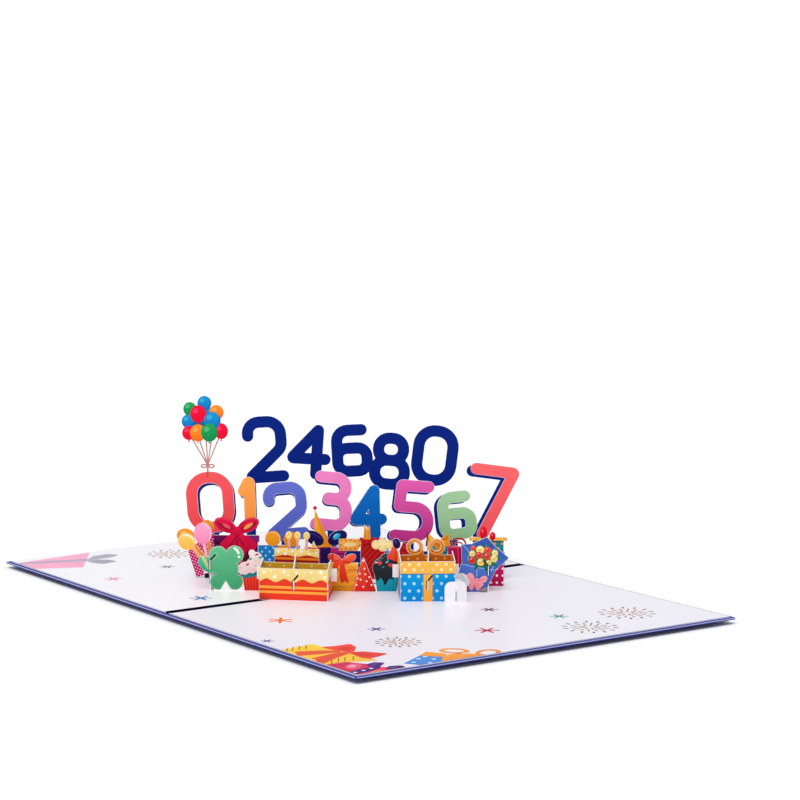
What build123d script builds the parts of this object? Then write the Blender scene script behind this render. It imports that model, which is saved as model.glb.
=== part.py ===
from build123d import *
import os
from math import acos, ceil, cos, radians, sin, tan

os.makedirs("parts", exist_ok=True)

# The folded cover and its inner sheets, in millimetres.
# Origin: middle of the fold on the underside. X runs along the fold, +Y is the far panel.
fold_length = 200.0
panel_depth = 150.0
cover_thickness = 0.8
liner_thickness = 0.5
liner_margin = 2.0
liner_fold_gap = 1.25
fold_groove_width = 0.9
fold_groove_depth = 0.35
cover_corner_radius = 0.8

# The die-cut sheets that stand on the liners and slot into each other.
# Their curves are cut as straights that stray no further than this from the true curve.
curve_error = 0.06
sheet = 0.4
slot_play = 0.1
lap_height = 6.0
strip_height = 7.5
number_stroke = 5.4
number_edge_shift = 2.1
back_drop = 6.0

# Rows run at this angle to the fold: a lattice twice as long as deep then folds flat
row_angle = 36.87
figure_row_at = -10.0
balloon_row_at = 4.0
number_row_at = 19.0
back_row_at = 50.0

# Sheets that cross the rows, by their place along the rows
left_cross_at = -64.3
cake_cross_at = -24.8
gift_cross_at = 35.3
right_cross_at = 62.3
cross_height = 10.5
tongue_reach = 0.9

# Boxes in front of the figure row
cake_width = 31.6
cake_depth = 15.0
cake_height = 14.4
cake_front_angle = -45.5
cake_side_angle = 51.5
gift_width = 24.5
gift_depth = 16.2
gift_height = 18.2
gift_front_angle = -33.5
gift_side_angle = 58.0
side_tab_length = 2.7
side_tab_height = 5.9

# Folded white tab in front of the gift box
tab_width = 5.2
tab_height = 9.6
tab_corner_radius = 3.0
tab_gap_height = 4.4
tab_turn = 24.0

deck = cover_thickness + liner_thickness


def turned(angle):
    """Level unit vector at an angle from the fold."""
    return Vector(cos(radians(angle)), sin(radians(angle)), 0)


along_rows = turned(-row_angle)
across_rows = turned(90 - row_angle)


def row_plane(offset):
    """Upright plane of a row: x to the reader's right, y up, normal to the reader."""
    return Plane(origin=across_rows * offset, x_dir=along_rows, z_dir=across_rows * -1)


def cross_plane(place):
    """Upright plane of a crossing sheet: x away from the reader, y up."""
    return Plane(origin=along_rows * place, x_dir=across_rows, z_dir=along_rows)


def wall_plane(corner, angle):
    """Upright plane through a plan corner, x along the wall, y up."""
    direction = turned(angle)
    return Plane(origin=corner, x_dir=direction, z_dir=turned(angle - 90))


def block(x0, x1, z0, z1):
    return Pos((x0 + x1) / 2, (z0 + z1) / 2) * Rectangle(x1 - x0, z1 - z0)


def disc(x, z, radius):
    return Pos(x, z) * Circle(radius)


def oval(x, z, half_width, half_height, turn=0.0):
    return Pos(x, z) * Rot(0, 0, turn) * Ellipse(half_width, half_height)


def outline(*points):
    return make_face(Polyline(*points, close=True))


def soft_outline(radius, *points):
    """Polygon whose corners are all rounded by one radius."""
    return make_face(FilletPolyline(*points, radius=radius, close=True))


def pill(x0, z0, x1, z1, width):
    """Straight strip with rounded ends."""
    return make_face(Wire(Line((x0, z0), (x1, z1)).edges()).offset_2d(width / 2, side=Side.BOTH))


def pen(points, radii, width):
    """Strip of one width along a line with rounded corners and ends."""
    route = Wire(FilletPolyline(*points, radius=radii).edges())
    return make_face(route.offset_2d(width / 2, side=Side.BOTH))


def loop(x0, x1, z0, z1, radius, width):
    """Closed band whose middle line is a rounded rectangle."""
    middle = Pos((x0 + x1) / 2, (z0 + z1) / 2)
    wide, high = x1 - x0, z1 - z0
    hole_radius = max(radius - width / 2, 0.3)
    outer = RectangleRounded(wide + width, high + width, radius + width / 2)
    return middle * (outer - RectangleRounded(wide - width, high - width, hole_radius))


def digit_zero(w, h, pen_width):
    return loop(0, w, 0, h, 0.46 * w, pen_width)


def digit_one(w, h, pen_width):
    return pen([(0.1 * w, 0.76 * h), (0.6 * w, h), (0.5 * w, 0)], [0.4], pen_width)


def digit_two(w, h, pen_width):
    points = [(0, 0.76 * h), (0, h), (w, h), (w, 0.52 * h), (0, 0), (w, 0)]
    return pen(points, [0.2 * h, 0.24 * h, 0.2 * h, 0.4], pen_width)


def digit_three(w, h, pen_width):
    points = [(0.04 * w, h), (0.92 * w, h), (0.92 * w, 0.56 * h), (0.35 * w, 0.56 * h)]
    upper = pen(points, [0.21 * h] * 2, pen_width)
    lower = pen([(0.35 * w, 0.54 * h), (w, 0.54 * h), (w, 0), (0, 0)], [0.23 * h] * 2, pen_width)
    return upper + lower


def digit_four(w, h, pen_width):
    angle = pen([(0.76 * w, h), (0, 0.34 * h), (w, 0.34 * h)], [0.4], pen_width)
    return angle + pill(0.74 * w, 0, 0.76 * w, h, pen_width)


def digit_five(w, h, pen_width):
    points = [(0.95 * w, h), (0.12 * w, h), (0.08 * w, 0.58 * h), (w, 0.58 * h), (w, 0), (0, 0)]
    return pen(points, [0.4, 0.4, 0.27 * h, 0.27 * h], pen_width)


def digit_six(w, h, pen_width):
    stem = pen([(0, 0.28 * h), (0, h), (0.85 * w, h)], [0.37 * w], pen_width)
    return stem + loop(0, w, 0, 0.56 * h, 0.22 * h, pen_width)


def digit_seven(w, h, pen_width):
    return pen([(0, h), (w, h), (0.38 * w, 0)], [0.6], pen_width)


def digit_eight(w, h, pen_width):
    lower = loop(0, w, 0, 0.52 * h, 0.25 * h, pen_width)
    return lower + loop(0.08 * w, 0.92 * w, 0.52 * h, h, 0.23 * h, pen_width)


# Each number: its digit, left, right, foot, head and tilt in degrees
front_numbers = [
    (digit_zero, -78.0, -55.8, 22.8, 51.6, 4),
    (digit_one, -54.4, -43.2, 24.0, 50.4, 3),
    (digit_two, -42.0, -21.6, 19.8, 47.0, 5),
    (digit_three, -19.6, -0.6, 24.2, 51.8, -5),
    (digit_four, -2.4, 15.2, 19.9, 45.6, 2),
    (digit_five, 17.0, 37.2, 19.0, 48.0, -4),
    (digit_six, 38.8, 56.6, 20.2, 43.0, 6),
    (digit_seven, 52.0, 75.0, 19.8, 55.4, -7),
]
top_numbers = [
    (digit_two, -54.2, -33.2, 41.6, 73.4, 4),
    (digit_four, -33.6, -12.4, 43.4, 69.6, -3),
    (digit_six, -12.2, 7.2, 44.6, 69.6, 3),
    (digit_eight, 5.9, 25.4, 38.4, 65.8, -4),
    (digit_zero, 26.0, 47.6, 40.4, 69.4, -7),
]


def number_shapes(rows, shift_x=0.0, shift_z=0.0):
    """Each digit is drawn in its own box, with its stroke inside it, then tilted there."""
    shapes = []
    for digit, left, right, foot, head, tilt in rows:
        wide = right - left - number_stroke
        high = head - foot - number_stroke
        shape = digit(wide, high, number_stroke)
        middle = Pos((left + right) / 2 + shift_x, (foot + head) / 2 + shift_z)
        shapes.append(middle * Rot(0, 0, tilt) * Pos(-wide / 2, -high / 2) * shape)
    return shapes


def curve_steps(edge):
    """Number of straights that keep within curve_error of an edge."""
    if edge.geom_type == GeomType.LINE:
        return 1
    tangents = [edge.tangent_at(i / 8) for i in range(9)]
    turning = sum(radians(a.get_angle(b)) for a, b in zip(tangents, tangents[1:]))
    radius = edge.length / turning
    return ceil(turning / (2 * acos(1 - curve_error / radius)))


def cut_line(wire):
    """The line that the cutter follows round a wire."""
    points = []
    for edge in wire.order_edges():
        steps = curve_steps(edge)
        points += [edge.position_at(i / steps) for i in range(steps)]
    return make_face(Polyline(*points, close=True))


def die_cut(plane, shape, amount=-sheet):
    """Sheet cut to a shape in a plane; a negative amount puts its thickness behind the plane."""
    solid = Part()
    for face in shape.faces():
        blank = cut_line(face.outer_wire())
        for hole in face.inner_wires():
            blank -= cut_line(hole)
        solid += extrude(plane * blank, amount=amount)
    return solid


def slit(x, low, high, wide):
    return block(x - wide / 2, x + wide / 2, low, high)


def hooked_slit(x, low, high, lean):
    """Closed slit for a crossing sheet's tongue, with a slanted cut that lets it in."""
    wide = sheet + 2 * slot_play
    lead_in = pill(x, high - 0.3, x + lean, high + 1.5 * abs(lean) ** 0.5, wide)
    return slit(x, low, high, wide) + lead_in


def bow(x, z, size, turn=0.0):
    """Flat bow: two loops, a knot and two tails."""
    left = oval(x - 0.95 * size, z + 0.5 * size, size, 0.56 * size, -28)
    right = oval(x + 0.95 * size, z + 0.5 * size, size, 0.56 * size, 28)
    knot = disc(x, z, 0.42 * size)
    tails = pill(x, z, x - 0.9 * size, z - 1.3 * size, 0.7 * size)
    tails += pill(x, z, x + 0.9 * size, z - 1.3 * size, 0.7 * size)
    return left + right + knot + tails


def wrapped_gift(x0, x1, head, lid_height=3.2, overhang=0.7):
    return block(x0, x1, deck, head) + block(x0 - overhang, x1 + overhang, head - lid_height, head)


def build_cover():
    """One folded sheet lying open, with the crease pressed into its inner face."""
    board = Pos(0, 0, cover_thickness / 2) * Box(fold_length, 2 * panel_depth, cover_thickness)
    board = fillet(board.edges().filter_by(Axis.Z), cover_corner_radius)
    groove = Plane.YZ * outline(
        (-fold_groove_width / 2, cover_thickness + 0.1),
        (0, cover_thickness - fold_groove_depth),
        (fold_groove_width / 2, cover_thickness + 0.1),
    )
    return board - extrude(groove, amount=fold_length, both=True)


def build_liner(side):
    """Inner sheet glued on one panel: side is 1 for the far panel, -1 for the near one."""
    depth = panel_depth - liner_margin - liner_fold_gap
    middle = side * (liner_fold_gap + depth / 2)
    place = Pos(0, middle, cover_thickness + liner_thickness / 2)
    liner = place * Box(fold_length - 2 * liner_margin, depth, liner_thickness)
    return fillet(liner.edges().filter_by(Axis.Z), cover_corner_radius / 2)


def lap_slots(places):
    """Slots cut up from the foot of a row, where crossing sheets pass under."""
    slots = Sketch()
    for place in places:
        slots += slit(place, deck - 1, deck + lap_height, sheet + slot_play)
    return slots


all_crosses = [left_cross_at, cake_cross_at, gift_cross_at, right_cross_at]


# Posts under the numbers of the outline, by their middles
post_width = 4.4
back_posts = [-68.0, -50.5, -34.0, -12.0, 7.3, 24.6, 45.6, 57.6]


def build_back_row():
    """Top row of numbers on the outline of the front row, one die-cut sheet."""
    shape = block(-70, 70, deck, deck + strip_height)
    for number in number_shapes(front_numbers, -number_edge_shift, -back_drop):
        shape += number
    for number in number_shapes(top_numbers):
        shape += number
    for x, (digit, left, right, foot, head, tilt) in zip(back_posts, front_numbers):
        top = foot - back_drop + number_stroke / 2
        shape += block(x - post_width / 2, x + post_width / 2, deck, top)
    shape -= lap_slots(all_crosses)
    return die_cut(row_plane(back_row_at), shape)


# Balloons of the bunch: how far right of the knot, how far above it, half width and half height
bunch_balloons = [
    (-1.3, 29.0, 3.3, 3.5),
    (-8.1, 26.3, 3.1, 3.3),
    (-4.2, 24.0, 3.8, 4.1),
    (4.2, 24.7, 3.4, 3.6),
    (2.3, 21.0, 3.9, 4.1),
    (-8.9, 20.5, 3.1, 3.3),
    (-8.6, 15.1, 3.2, 3.4),
    (-4.4, 15.2, 3.8, 4.1),
    (0.9, 15.4, 3.9, 4.4),
    (6.4, 16.0, 3.2, 3.8),
    (-2.0, 21.6, 6.0, 6.5),
]
bunch_strings = [(-7.4, 12.8), (-3.8, 12.0), (-0.6, 12.0), (1.8, 12.0), (5.4, 13.2)]
string_width = 0.5


def balloon_bunch(x, z):
    """Balloons in rows on strings that meet at one knot."""
    shape = Sketch()
    for side, up, half_width, half_height in bunch_balloons:
        shape += oval(x + side, z + up, half_width, half_height)
    for side, up in bunch_strings:
        shape += pill(x + side, z + up, x, z, string_width)
    # A small bow of the same string
    for side in (-1.7, 1.7):
        shape += oval(x + side, z - 0.4, 1.6, 1.0) - oval(x + side, z - 0.4, 1.0, 0.45)
    return shape + disc(x, z, 0.9) + pill(x, z, x, z - 5.5, 1.4 * string_width)


def build_number_row():
    """Front row of numbers with the gifts under them and the balloons above."""
    shape = block(-70, 44.5, deck, deck + strip_height) + block(54.9, 69.4, deck, deck + strip_height)
    for number in number_shapes(front_numbers):
        shape += number
    shape += balloon_bunch(-67.9, 54.6)
    shape += outline((-77.5, 14.1), (-65.6, 25.6), (-64.6, 12), (-68.4, 3.6), (-73.6, 1.5))
    shape += wrapped_gift(-65.4, -44.8, 21.8) + bow(-54.6, 23.6, 5.6)
    shape += block(-44.8, -25.2, deck, 17.2) + disc(-37.8, 20.3, 3.7) + disc(-29.2, 20.0, 3.7)
    shape += outline((-18.6, 14), (-18.4, 34.4), (-9.2, 14)) + disc(-18.2, 34.8, 0.9)
    shape += wrapped_gift(-21.0, -4.4, 16.4, 3.0, 0.6) + oval(-18.6, 20.6, 4.9, 3.2, -30)
    shape += oval(-7.8, 20.8, 4.9, 3.2, 30)
    # Tag between two gifts, pointed at its right end
    shape += outline((-7.5, 20.6), (2.6, 20.4), (3.6, 18.2), (1.4, 14.6), (-7.5, 14.6))
    shape += wrapped_gift(2.9, 14.2, 21.0, 3.0, 0.5) + outline((4.2, 20), (4.6, 27), (6, 25), (7.4, 27), (7.8, 20))
    shape += outline((17.4, 7), (23.2, 20.2), (28.6, 7))
    shape += wrapped_gift(34.4, 43.4, 17.6, 3.0, 0.5)
    shape += outline((33, 17), (33.8, 23.6), (38.8, 19.4), (43.8, 23.6), (44.6, 17))
    shape += block(43.4, 54.0, 8.4, 17.2)
    shape += loop(45.0, 51.8, 14.0, 20.8, 3.0, 0.9) + loop(46.4, 50.4, 14.0, 19.0, 1.8, 0.7)
    shape += wrapped_gift(54.9, 69.4, 21.5, 1.8, 1.6) + oval(60.0, 23.1, 1.7, 3.6) + oval(64.2, 21.9, 1.5, 2.1)
    shape -= lap_slots(all_crosses)
    return die_cut(row_plane(number_row_at), shape)


def build_rear_balloons():
    """Two balloons behind the figure row, on the left crossing sheet."""
    shape = oval(-76.9, 24.0, 4.2, 3.5, -10) + oval(-67.0, 28.2, 3.1, 3.4)
    shape += pill(-74.6, 22, -65.4, 10.5, 1.5) + pill(-67.0, 26, -65.0, 11, 1.5)
    shape += outline((-66.2, deck), (-66.2, 12.4), (-63.0, 12.4), (-59.8, deck))
    shape -= lap_slots([left_cross_at])
    return die_cut(row_plane(balloon_row_at), shape)


def build_dotted_bag():
    """Small gift bag behind the bouquet, on the right crossing sheet."""
    shape = block(60.2, 69.4, deck, 11.6) + outline((61.4, 11.5), (62.4, 12.6), (67.2, 12.6), (68.2, 11.5))
    shape -= lap_slots([right_cross_at])
    return die_cut(row_plane(balloon_row_at), shape)


def cupcake(x, width, cup_height, frosting):
    """Tapered paper cup under a mound of frosting, which is a list of discs."""
    half = width / 2
    shape = outline(
        (x - 0.78 * half, deck),
        (x + 0.78 * half, deck),
        (x + half, deck + cup_height),
        (x - half, deck + cup_height),
    )
    for side, up, radius in frosting:
        shape += disc(x + side, deck + up, radius)
    return shape


def build_figure_row():
    """Front row: balloons, clover, cupcakes, gift, party hats and a bouquet."""
    shape = block(-60, 61, deck, deck + 3.4) + block(-39, -12, deck, deck + strip_height)
    shape += block(22, 47, deck, deck + strip_height)
    # Two balloons on strings with a leaf
    shape += oval(-74.9, 23.9, 4.1, 3.8, -35) + oval(-67.5, 27.7, 4.1, 4.9)
    shape += pill(-73.0, 22.0, -64.6, 10.6, 1.2) + pill(-67.2, 24, -64.8, 10.4, 1.2)
    shape += soft_outline(0.9, (-68.9, 17.2), (-70.0, 14.4), (-68.2, 11.4), (-64.4, 9.0), (-65.6, 17.2))
    shape += pill(-64.8, 10.4, -60.0, 10.4, 1.6)
    shape += block(-67.2, -60.0, 9.4, 17.2)
    # Clover with four lobes round its middle
    shape += oval(-56.8, deck + 10.2, 5.6, 6.8) + block(-62.6, -51.2, deck, deck + 4.4)
    for side, up, radius in [(-3.8, 16.4, 4.2), (3.7, 16.6, 4.2), (-3.8, 4.2, 3.8), (3.7, 4.2, 3.8)]:
        shape += disc(-56.8 + side, deck + up, radius)
    # Pale cupcake in a red cup
    shape += cupcake(-45.0, 9.6, 8.0, [(-3.2, 10.0, 3.4), (1.2, 11.4, 4.4), (1.6, 15.0, 3.0), (-0.2, 17.4, 1.6)])
    # Gift with a red bow
    shape += wrapped_gift(-10.0, 2.6, 14.6, 3.0, 0.5) + bow(-4.2, 14.6, 3.5)
    # Cone hat
    shape += soft_outline(0.4, (0.0, deck), (5.5, 17.7), (11.5, deck))
    # Dark cupcake with a topper and a hat
    shape += cupcake(16.2, 11.6, 8.6, [(-2.0, 11.0, 4.6), (2.2, 11.0, 4.6), (0.4, 13.6, 4.2)])
    for side, up, radius in [(-2.9, 22.9, 2.1), (0.0, 23.7, 2.3), (2.9, 23.0, 2.1), (0.0, 21.7, 1.9)]:
        shape += disc(14.2 + side, up, radius)
    shape += pill(16.4, 21.5, 16.8, 15, 0.9)
    shape += soft_outline(0.4, (15.8, 16.8), (20.0, 24.2), (22.2, 14.4)) + oval(20.6, 23.6, 1.8, 2.5, 15)
    # Bouquet in folded paper with a bow at its foot
    shape += outline(
        (49.9, 23.4),
        (54.6, 23.6),
        (61.6, 26.8),
        (65.9, 22.0),
        (71.7, 17.2),
        (66.0, 11.8),
        (62.2, 4.4),
        (61.8, deck),
        (52.0, deck),
        (52.2, 5.0),
        (49.0, 11.2),
        (50.2, 15.3),
    )
    shape += oval(51.2, 8.2, 2.8, 2.2, -30)
    shape -= lap_slots([cake_cross_at, gift_cross_at])
    shape -= hooked_slit(left_cross_at, left_slit_low, left_slit_low + tongue_height, 2.4)
    shape -= hooked_slit(right_cross_at, right_slit_low, right_slit_low + tongue_height, -2.2)
    return die_cut(row_plane(figure_row_at), shape)


# Where the crossing sheets' tongues show in the sheets that they hold
tongue_height = 4.4
left_slit_low = 11.2
right_slit_low = 9.2
cake_slit_low = 6.2
gift_slit_low = 6.6


def plan_point(place, offset):
    """Point on the liner from its place along the rows and its distance behind the origin."""
    return along_rows * place + across_rows * offset


def meeting(corner, angle, place):
    """Distance along a wall from its corner to the crossing sheet at a place."""
    return (place - corner.dot(along_rows)) / turned(angle).dot(along_rows)


def run_to_figures(corner, angle):
    """Length of a side wall that ends against the figure row."""
    start = corner.dot(across_rows)
    return (figure_row_at - sheet - start) / turned(angle).dot(across_rows)


def front_corner(width, angle, cross_place, offset):
    """Left front corner of a box whose front is centred on a crossing sheet."""
    return plan_point(cross_place, offset) - turned(angle) * (width / 2)


cake_front_at = -31.7
gift_front_at = -32.2
cake_corner = front_corner(cake_width, cake_front_angle, cake_cross_at, cake_front_at)
gift_corner = front_corner(gift_width, gift_front_angle, gift_cross_at, gift_front_at)


def build_wrap(corner, width, depth, height, front_angle, side_angle, slit_low):
    """Front and two sides of a box, folded from one sheet and ending at the figure row."""
    rim = deck + height
    tab_low = deck + 0.44 * height
    turn = radians(side_angle - front_angle)
    tab_slit = (sheet + 2 * slot_play) / sin(turn) + sheet * abs(1 / tan(turn))
    front = block(0, width, deck, rim) - hooked_slit(width / 2, slit_low, slit_low + tongue_height, 2.0)
    solid = die_cut(wall_plane(corner, front_angle), front)
    for start in (corner, corner + turned(front_angle) * width):
        run = run_to_figures(start, side_angle)
        wall = outline((0, deck), (run, deck), (run, rim - 1.5), (depth + 1, rim + 1.6), (0, rim))
        wall -= slit(depth + sheet / 2, tab_low - slot_play, tab_low + side_tab_height + slot_play, tab_slit)
        # Each side keeps its outer face on the line through its corner
        inward = sheet if start is corner else -sheet
        solid += die_cut(wall_plane(start, side_angle), wall, inward)
    return solid


def back_wall(corner, width, depth, front_angle, side_angle, cross_place, shape):
    """Upright sheet between a box's sides, its tabs through them and its foot slotted."""
    start = corner + turned(side_angle) * depth
    slot = slit(meeting(start, front_angle, cross_place), deck - 1, deck + lap_height, sheet + 2 * slot_play)
    return die_cut(wall_plane(start, front_angle), shape - slot)


def tabbed_wall(width, height, front_angle, side_angle):
    """Wall between the sides with a tab out through each of them."""
    turn = radians(side_angle - front_angle)
    reveal = sheet / sin(turn) + sheet * abs(1 / tan(turn)) + slot_play
    low = deck + 0.44 * height
    body = block(reveal, width - reveal, deck, deck + height)
    for x0, x1 in [(-side_tab_length, reveal + 1), (width - reveal - 1, width + side_tab_length)]:
        body += block(x0, x1, low, low + side_tab_height)
    return body


def build_cake_back():
    """Back of the cake box, with the smaller upper cake and its candles."""
    shape = tabbed_wall(cake_width, cake_height, cake_front_angle, cake_side_angle)
    middle = cake_width / 2
    tier_top = deck + cake_height + 6.4
    shape += block(middle - 10.3, middle + 10.3, deck + cake_height - 1, tier_top)
    for side in (-3.6, 0.4, 4.6):
        shape += pill(middle + side, tier_top - 1, middle + side, tier_top + 4, 1.1)
        shape += oval(middle + side, tier_top + 6.0, 1.5, 1.9)
    shape += outline((middle + 5.8, tier_top - 1), (middle + 7.8, tier_top + 3.8), (middle + 10, tier_top - 1))
    return back_wall(
        cake_corner, cake_width, cake_depth, cake_front_angle, cake_side_angle, cake_cross_at, shape
    )


def build_gift_back():
    """Back of the gift box, with the two cut-out loops of its bow."""
    shape = tabbed_wall(gift_width, gift_height, gift_front_angle, gift_side_angle)
    middle = gift_width / 2
    rim = deck + gift_height
    for side in (-1, 1):
        x = middle + side * 4.9
        shape += disc(x, rim + 3.6, 3.9)
        shape += outline((middle + side * 0.4, rim - 1), (middle + side * 1.2, rim + 3), (x, rim), (x, rim - 1))
        shape -= disc(x, rim + 3.8, 2.0)
    return back_wall(
        gift_corner, gift_width, gift_depth, gift_front_angle, gift_side_angle, gift_cross_at, shape
    )


def build_cross(place, front, tongue_low, rows, inner_top=None):
    """Crossing sheet from its tongue in the front sheet back to the last row."""
    thick_slot = sheet + slot_play
    top = deck + cross_height
    start = front + sheet + slot_play
    back = back_row_at + sheet + 3.0
    shape = block(start, back, deck, top)
    if inner_top:
        # Inside a box the sheet stands higher and its top edge falls to the front
        high_back, high_front, back_end = inner_top
        shape += outline((start, deck + 1), (start, high_front), (back_end, high_back), (back_end, deck + 1))
    else:
        top = max(top, tongue_low + tongue_height + 1)
        shape += block(start, start + 6, deck, top)
    # The tongue passes the slit and has a small barb below it
    shape += block(front - tongue_reach, start + 1, tongue_low + slot_play, tongue_low + tongue_height - slot_play)
    for row in rows:
        middle = row + sheet / 2
        shape -= slit(middle, deck + lap_height, deck + 60, thick_slot)
    return extrude(cross_plane(place) * shape, amount=sheet / 2, both=True)


def back_wall_crossing(corner, depth, front_angle, side_angle, place):
    """Distance behind the origin where a crossing sheet meets a box's back wall."""
    start = corner + turned(side_angle) * depth
    point = start + turned(front_angle) * meeting(start, front_angle, place)
    return point.dot(across_rows)


def build_mounting_tab():
    """White tab folded upright, with two rounded ears."""
    middle = plan_point(42.4 + 5.6, figure_row_at - 24.7)
    solid = Part()
    for angle, side in [(gift_front_angle, -1), (gift_front_angle + tab_turn, 1)]:
        # Each ear has a round outer corner, and a gap is cut along the fold between the two
        shoulder, round_at = deck + tab_height - tab_corner_radius, side * (tab_width - tab_corner_radius)
        ear = block(min(0, side * tab_width), max(0, side * tab_width), deck, shoulder)
        ear += block(min(0, round_at), max(0, round_at), deck, deck + tab_height)
        ear += disc(round_at, shoulder, tab_corner_radius)
        ear -= block(-sheet, sheet, deck + 2 * sheet, deck + 2 * sheet + tab_gap_height)
        solid += die_cut(wall_plane(middle, angle), ear)
    return solid


set_one = [balloon_row_at, number_row_at, back_row_at]
cake_crossing = back_wall_crossing(cake_corner, cake_depth, cake_front_angle, cake_side_angle, cake_cross_at)
gift_crossing = back_wall_crossing(gift_corner, gift_depth, gift_front_angle, gift_side_angle, gift_cross_at)
behind_boxes = [figure_row_at, number_row_at, back_row_at]

parts = {
    "cover": build_cover(),
    "far_liner": build_liner(1),
    "near_liner": build_liner(-1),
    "back_row": build_back_row(),
    "number_row": build_number_row(),
    "rear_balloons": build_rear_balloons(),
    "dotted_bag": build_dotted_bag(),
    "figure_row": build_figure_row(),
    "cake_wrap": build_wrap(
        cake_corner, cake_width, cake_depth, cake_height, cake_front_angle, cake_side_angle, cake_slit_low
    ),
    "cake_back": build_cake_back(),
    "gift_wrap": build_wrap(
        gift_corner, gift_width, gift_depth, gift_height, gift_front_angle, gift_side_angle, gift_slit_low
    ),
    "gift_back": build_gift_back(),
    "cross_left": build_cross(left_cross_at, figure_row_at, left_slit_low, set_one),
    "cross_cake": build_cross(
        cake_cross_at, cake_front_at, cake_slit_low, [cake_crossing] + behind_boxes,
        (deck + cake_height + 4.6, deck + cake_height, cake_crossing + 2),
    ),
    "cross_gift": build_cross(
        gift_cross_at, gift_front_at, gift_slit_low, [gift_crossing] + behind_boxes,
        (deck + gift_height + 2.4, deck + gift_height, gift_crossing + 2),
    ),
    "cross_right": build_cross(right_cross_at, figure_row_at, right_slit_low, set_one),
    "mounting_tab": build_mounting_tab(),
}

for name, solid in parts.items():
    export_step(solid, f"parts/{name}.step")
    print(name, len(solid.solids()), round(solid.volume, 1))
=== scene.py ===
import math

import bpy
import numpy as np
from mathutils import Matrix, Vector
from mathutils.geometry import delaunay_2d_cdt


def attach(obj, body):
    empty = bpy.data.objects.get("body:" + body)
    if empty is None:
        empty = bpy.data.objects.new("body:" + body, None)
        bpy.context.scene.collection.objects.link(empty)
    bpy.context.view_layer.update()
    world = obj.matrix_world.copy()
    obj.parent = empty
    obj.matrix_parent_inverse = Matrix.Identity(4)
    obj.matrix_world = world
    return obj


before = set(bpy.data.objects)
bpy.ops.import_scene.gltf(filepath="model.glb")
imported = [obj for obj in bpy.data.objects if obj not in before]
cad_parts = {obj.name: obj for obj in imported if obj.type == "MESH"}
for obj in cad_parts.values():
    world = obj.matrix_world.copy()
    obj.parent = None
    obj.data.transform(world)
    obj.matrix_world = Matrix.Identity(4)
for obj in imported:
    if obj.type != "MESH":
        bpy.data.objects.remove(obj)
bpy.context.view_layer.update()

mm = 0.001

# Where the sheets stand, in mm: rows run along one slanted direction, reader on the near side
card = {
    "rowAngle": 36.87,
    "figureRow": -10.0,
    "balloonRow": 4.0,
    "numberRow": 19.0,
    "deck": 1.3,
    "sheet": 0.4,
    "slotPlay": 0.1,  # on each side of a sheet in its slot
    "tongue": 4.4,  # height of a crossing sheet's tongue
    "cutEdge": 0.12,  # bare paper left round each print
    "inkStep": 0.02,  # each print lies this much in front of the one under it
    "inkDepth": 0.028,  # so that its back lies inside the one under it
}
deck = card["deck"]


def cosSin(angle):
    return math.cos(math.radians(angle)), math.sin(math.radians(angle))


def direction(angle):
    return Vector((*cosSin(angle), 0))


alongRows = direction(-card["rowAngle"])
acrossRows = direction(90 - card["rowAngle"])
upward = Vector((0, 0, 1))


def rowPlane(offset):
    # origin, reader's right, up, and the way the printed face looks
    return acrossRows * offset, alongRows, upward, -acrossRows


def wallPlane(corner, angle):
    return corner, direction(angle), upward, direction(angle - 90)


# Colour: sRGB hex values turned to linear
def linear(hexColour):
    parts = [int(hexColour[i:i + 2], 16) / 255 for i in (1, 3, 5)]
    return [c / 12.92 if c <= 0.04045 else ((c + 0.055) / 1.055) ** 2.4 for c in parts] + [1.0]


def addNode(tree, kind, settings=None, inputs=None, links=None):
    # adds a node, sets its properties and sockets, and links its inputs from other sockets
    node = tree.nodes.new(kind)
    for key, value in (settings or {}).items():
        setattr(node, key, value)
    for key, value in (inputs or {}).items():
        node.inputs[key].default_value = value
    for key, socket in (links or {}).items():
        tree.links.new(socket, node.inputs[key])
    return node


def newMaterial(name, inputs):
    material = bpy.data.materials.new(name)
    material.use_nodes = True
    tree = material.node_tree
    tree.nodes.clear()
    shader = addNode(tree, "ShaderNodeBsdfPrincipled", inputs=inputs)
    addNode(tree, "ShaderNodeOutputMaterial", links={"Surface": shader.outputs["BSDF"]})
    return material, tree, shader


paperLook = {
    "fibre": 0.55,  # mm between fibres, coarser than the real 0.05 so that they show
    "fibreHeight": 0.010,
    "cloud": 9.0,  # mm between soft blotches in the ink
    "blotch": 0.05,
}


def objectScale(tree, spacing):
    # Object coordinates are metres: this turns them to one unit for each spacing in mm
    place = addNode(tree, "ShaderNodeTexCoord")
    scaled = addNode(tree, "ShaderNodeVectorMath", {"operation": "SCALE"}, {"Scale": 1 / (spacing * mm)},
                     {"Vector": place.outputs["Object"]})
    return scaled.outputs["Vector"]


def fibreBump(tree, shader, strength):
    noise = addNode(tree, "ShaderNodeTexNoise", inputs={"Scale": 1.0, "Detail": 3.0, "Roughness": 0.6},
                    links={"Vector": objectScale(tree, paperLook["fibre"])})
    height = paperLook["fibreHeight"] * mm
    bump = addNode(tree, "ShaderNodeBump", inputs={"Strength": strength, "Distance": height},
                   links={"Height": noise.outputs["Fac"]})
    tree.links.new(bump.outputs["Normal"], shader.inputs["Normal"])


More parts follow.
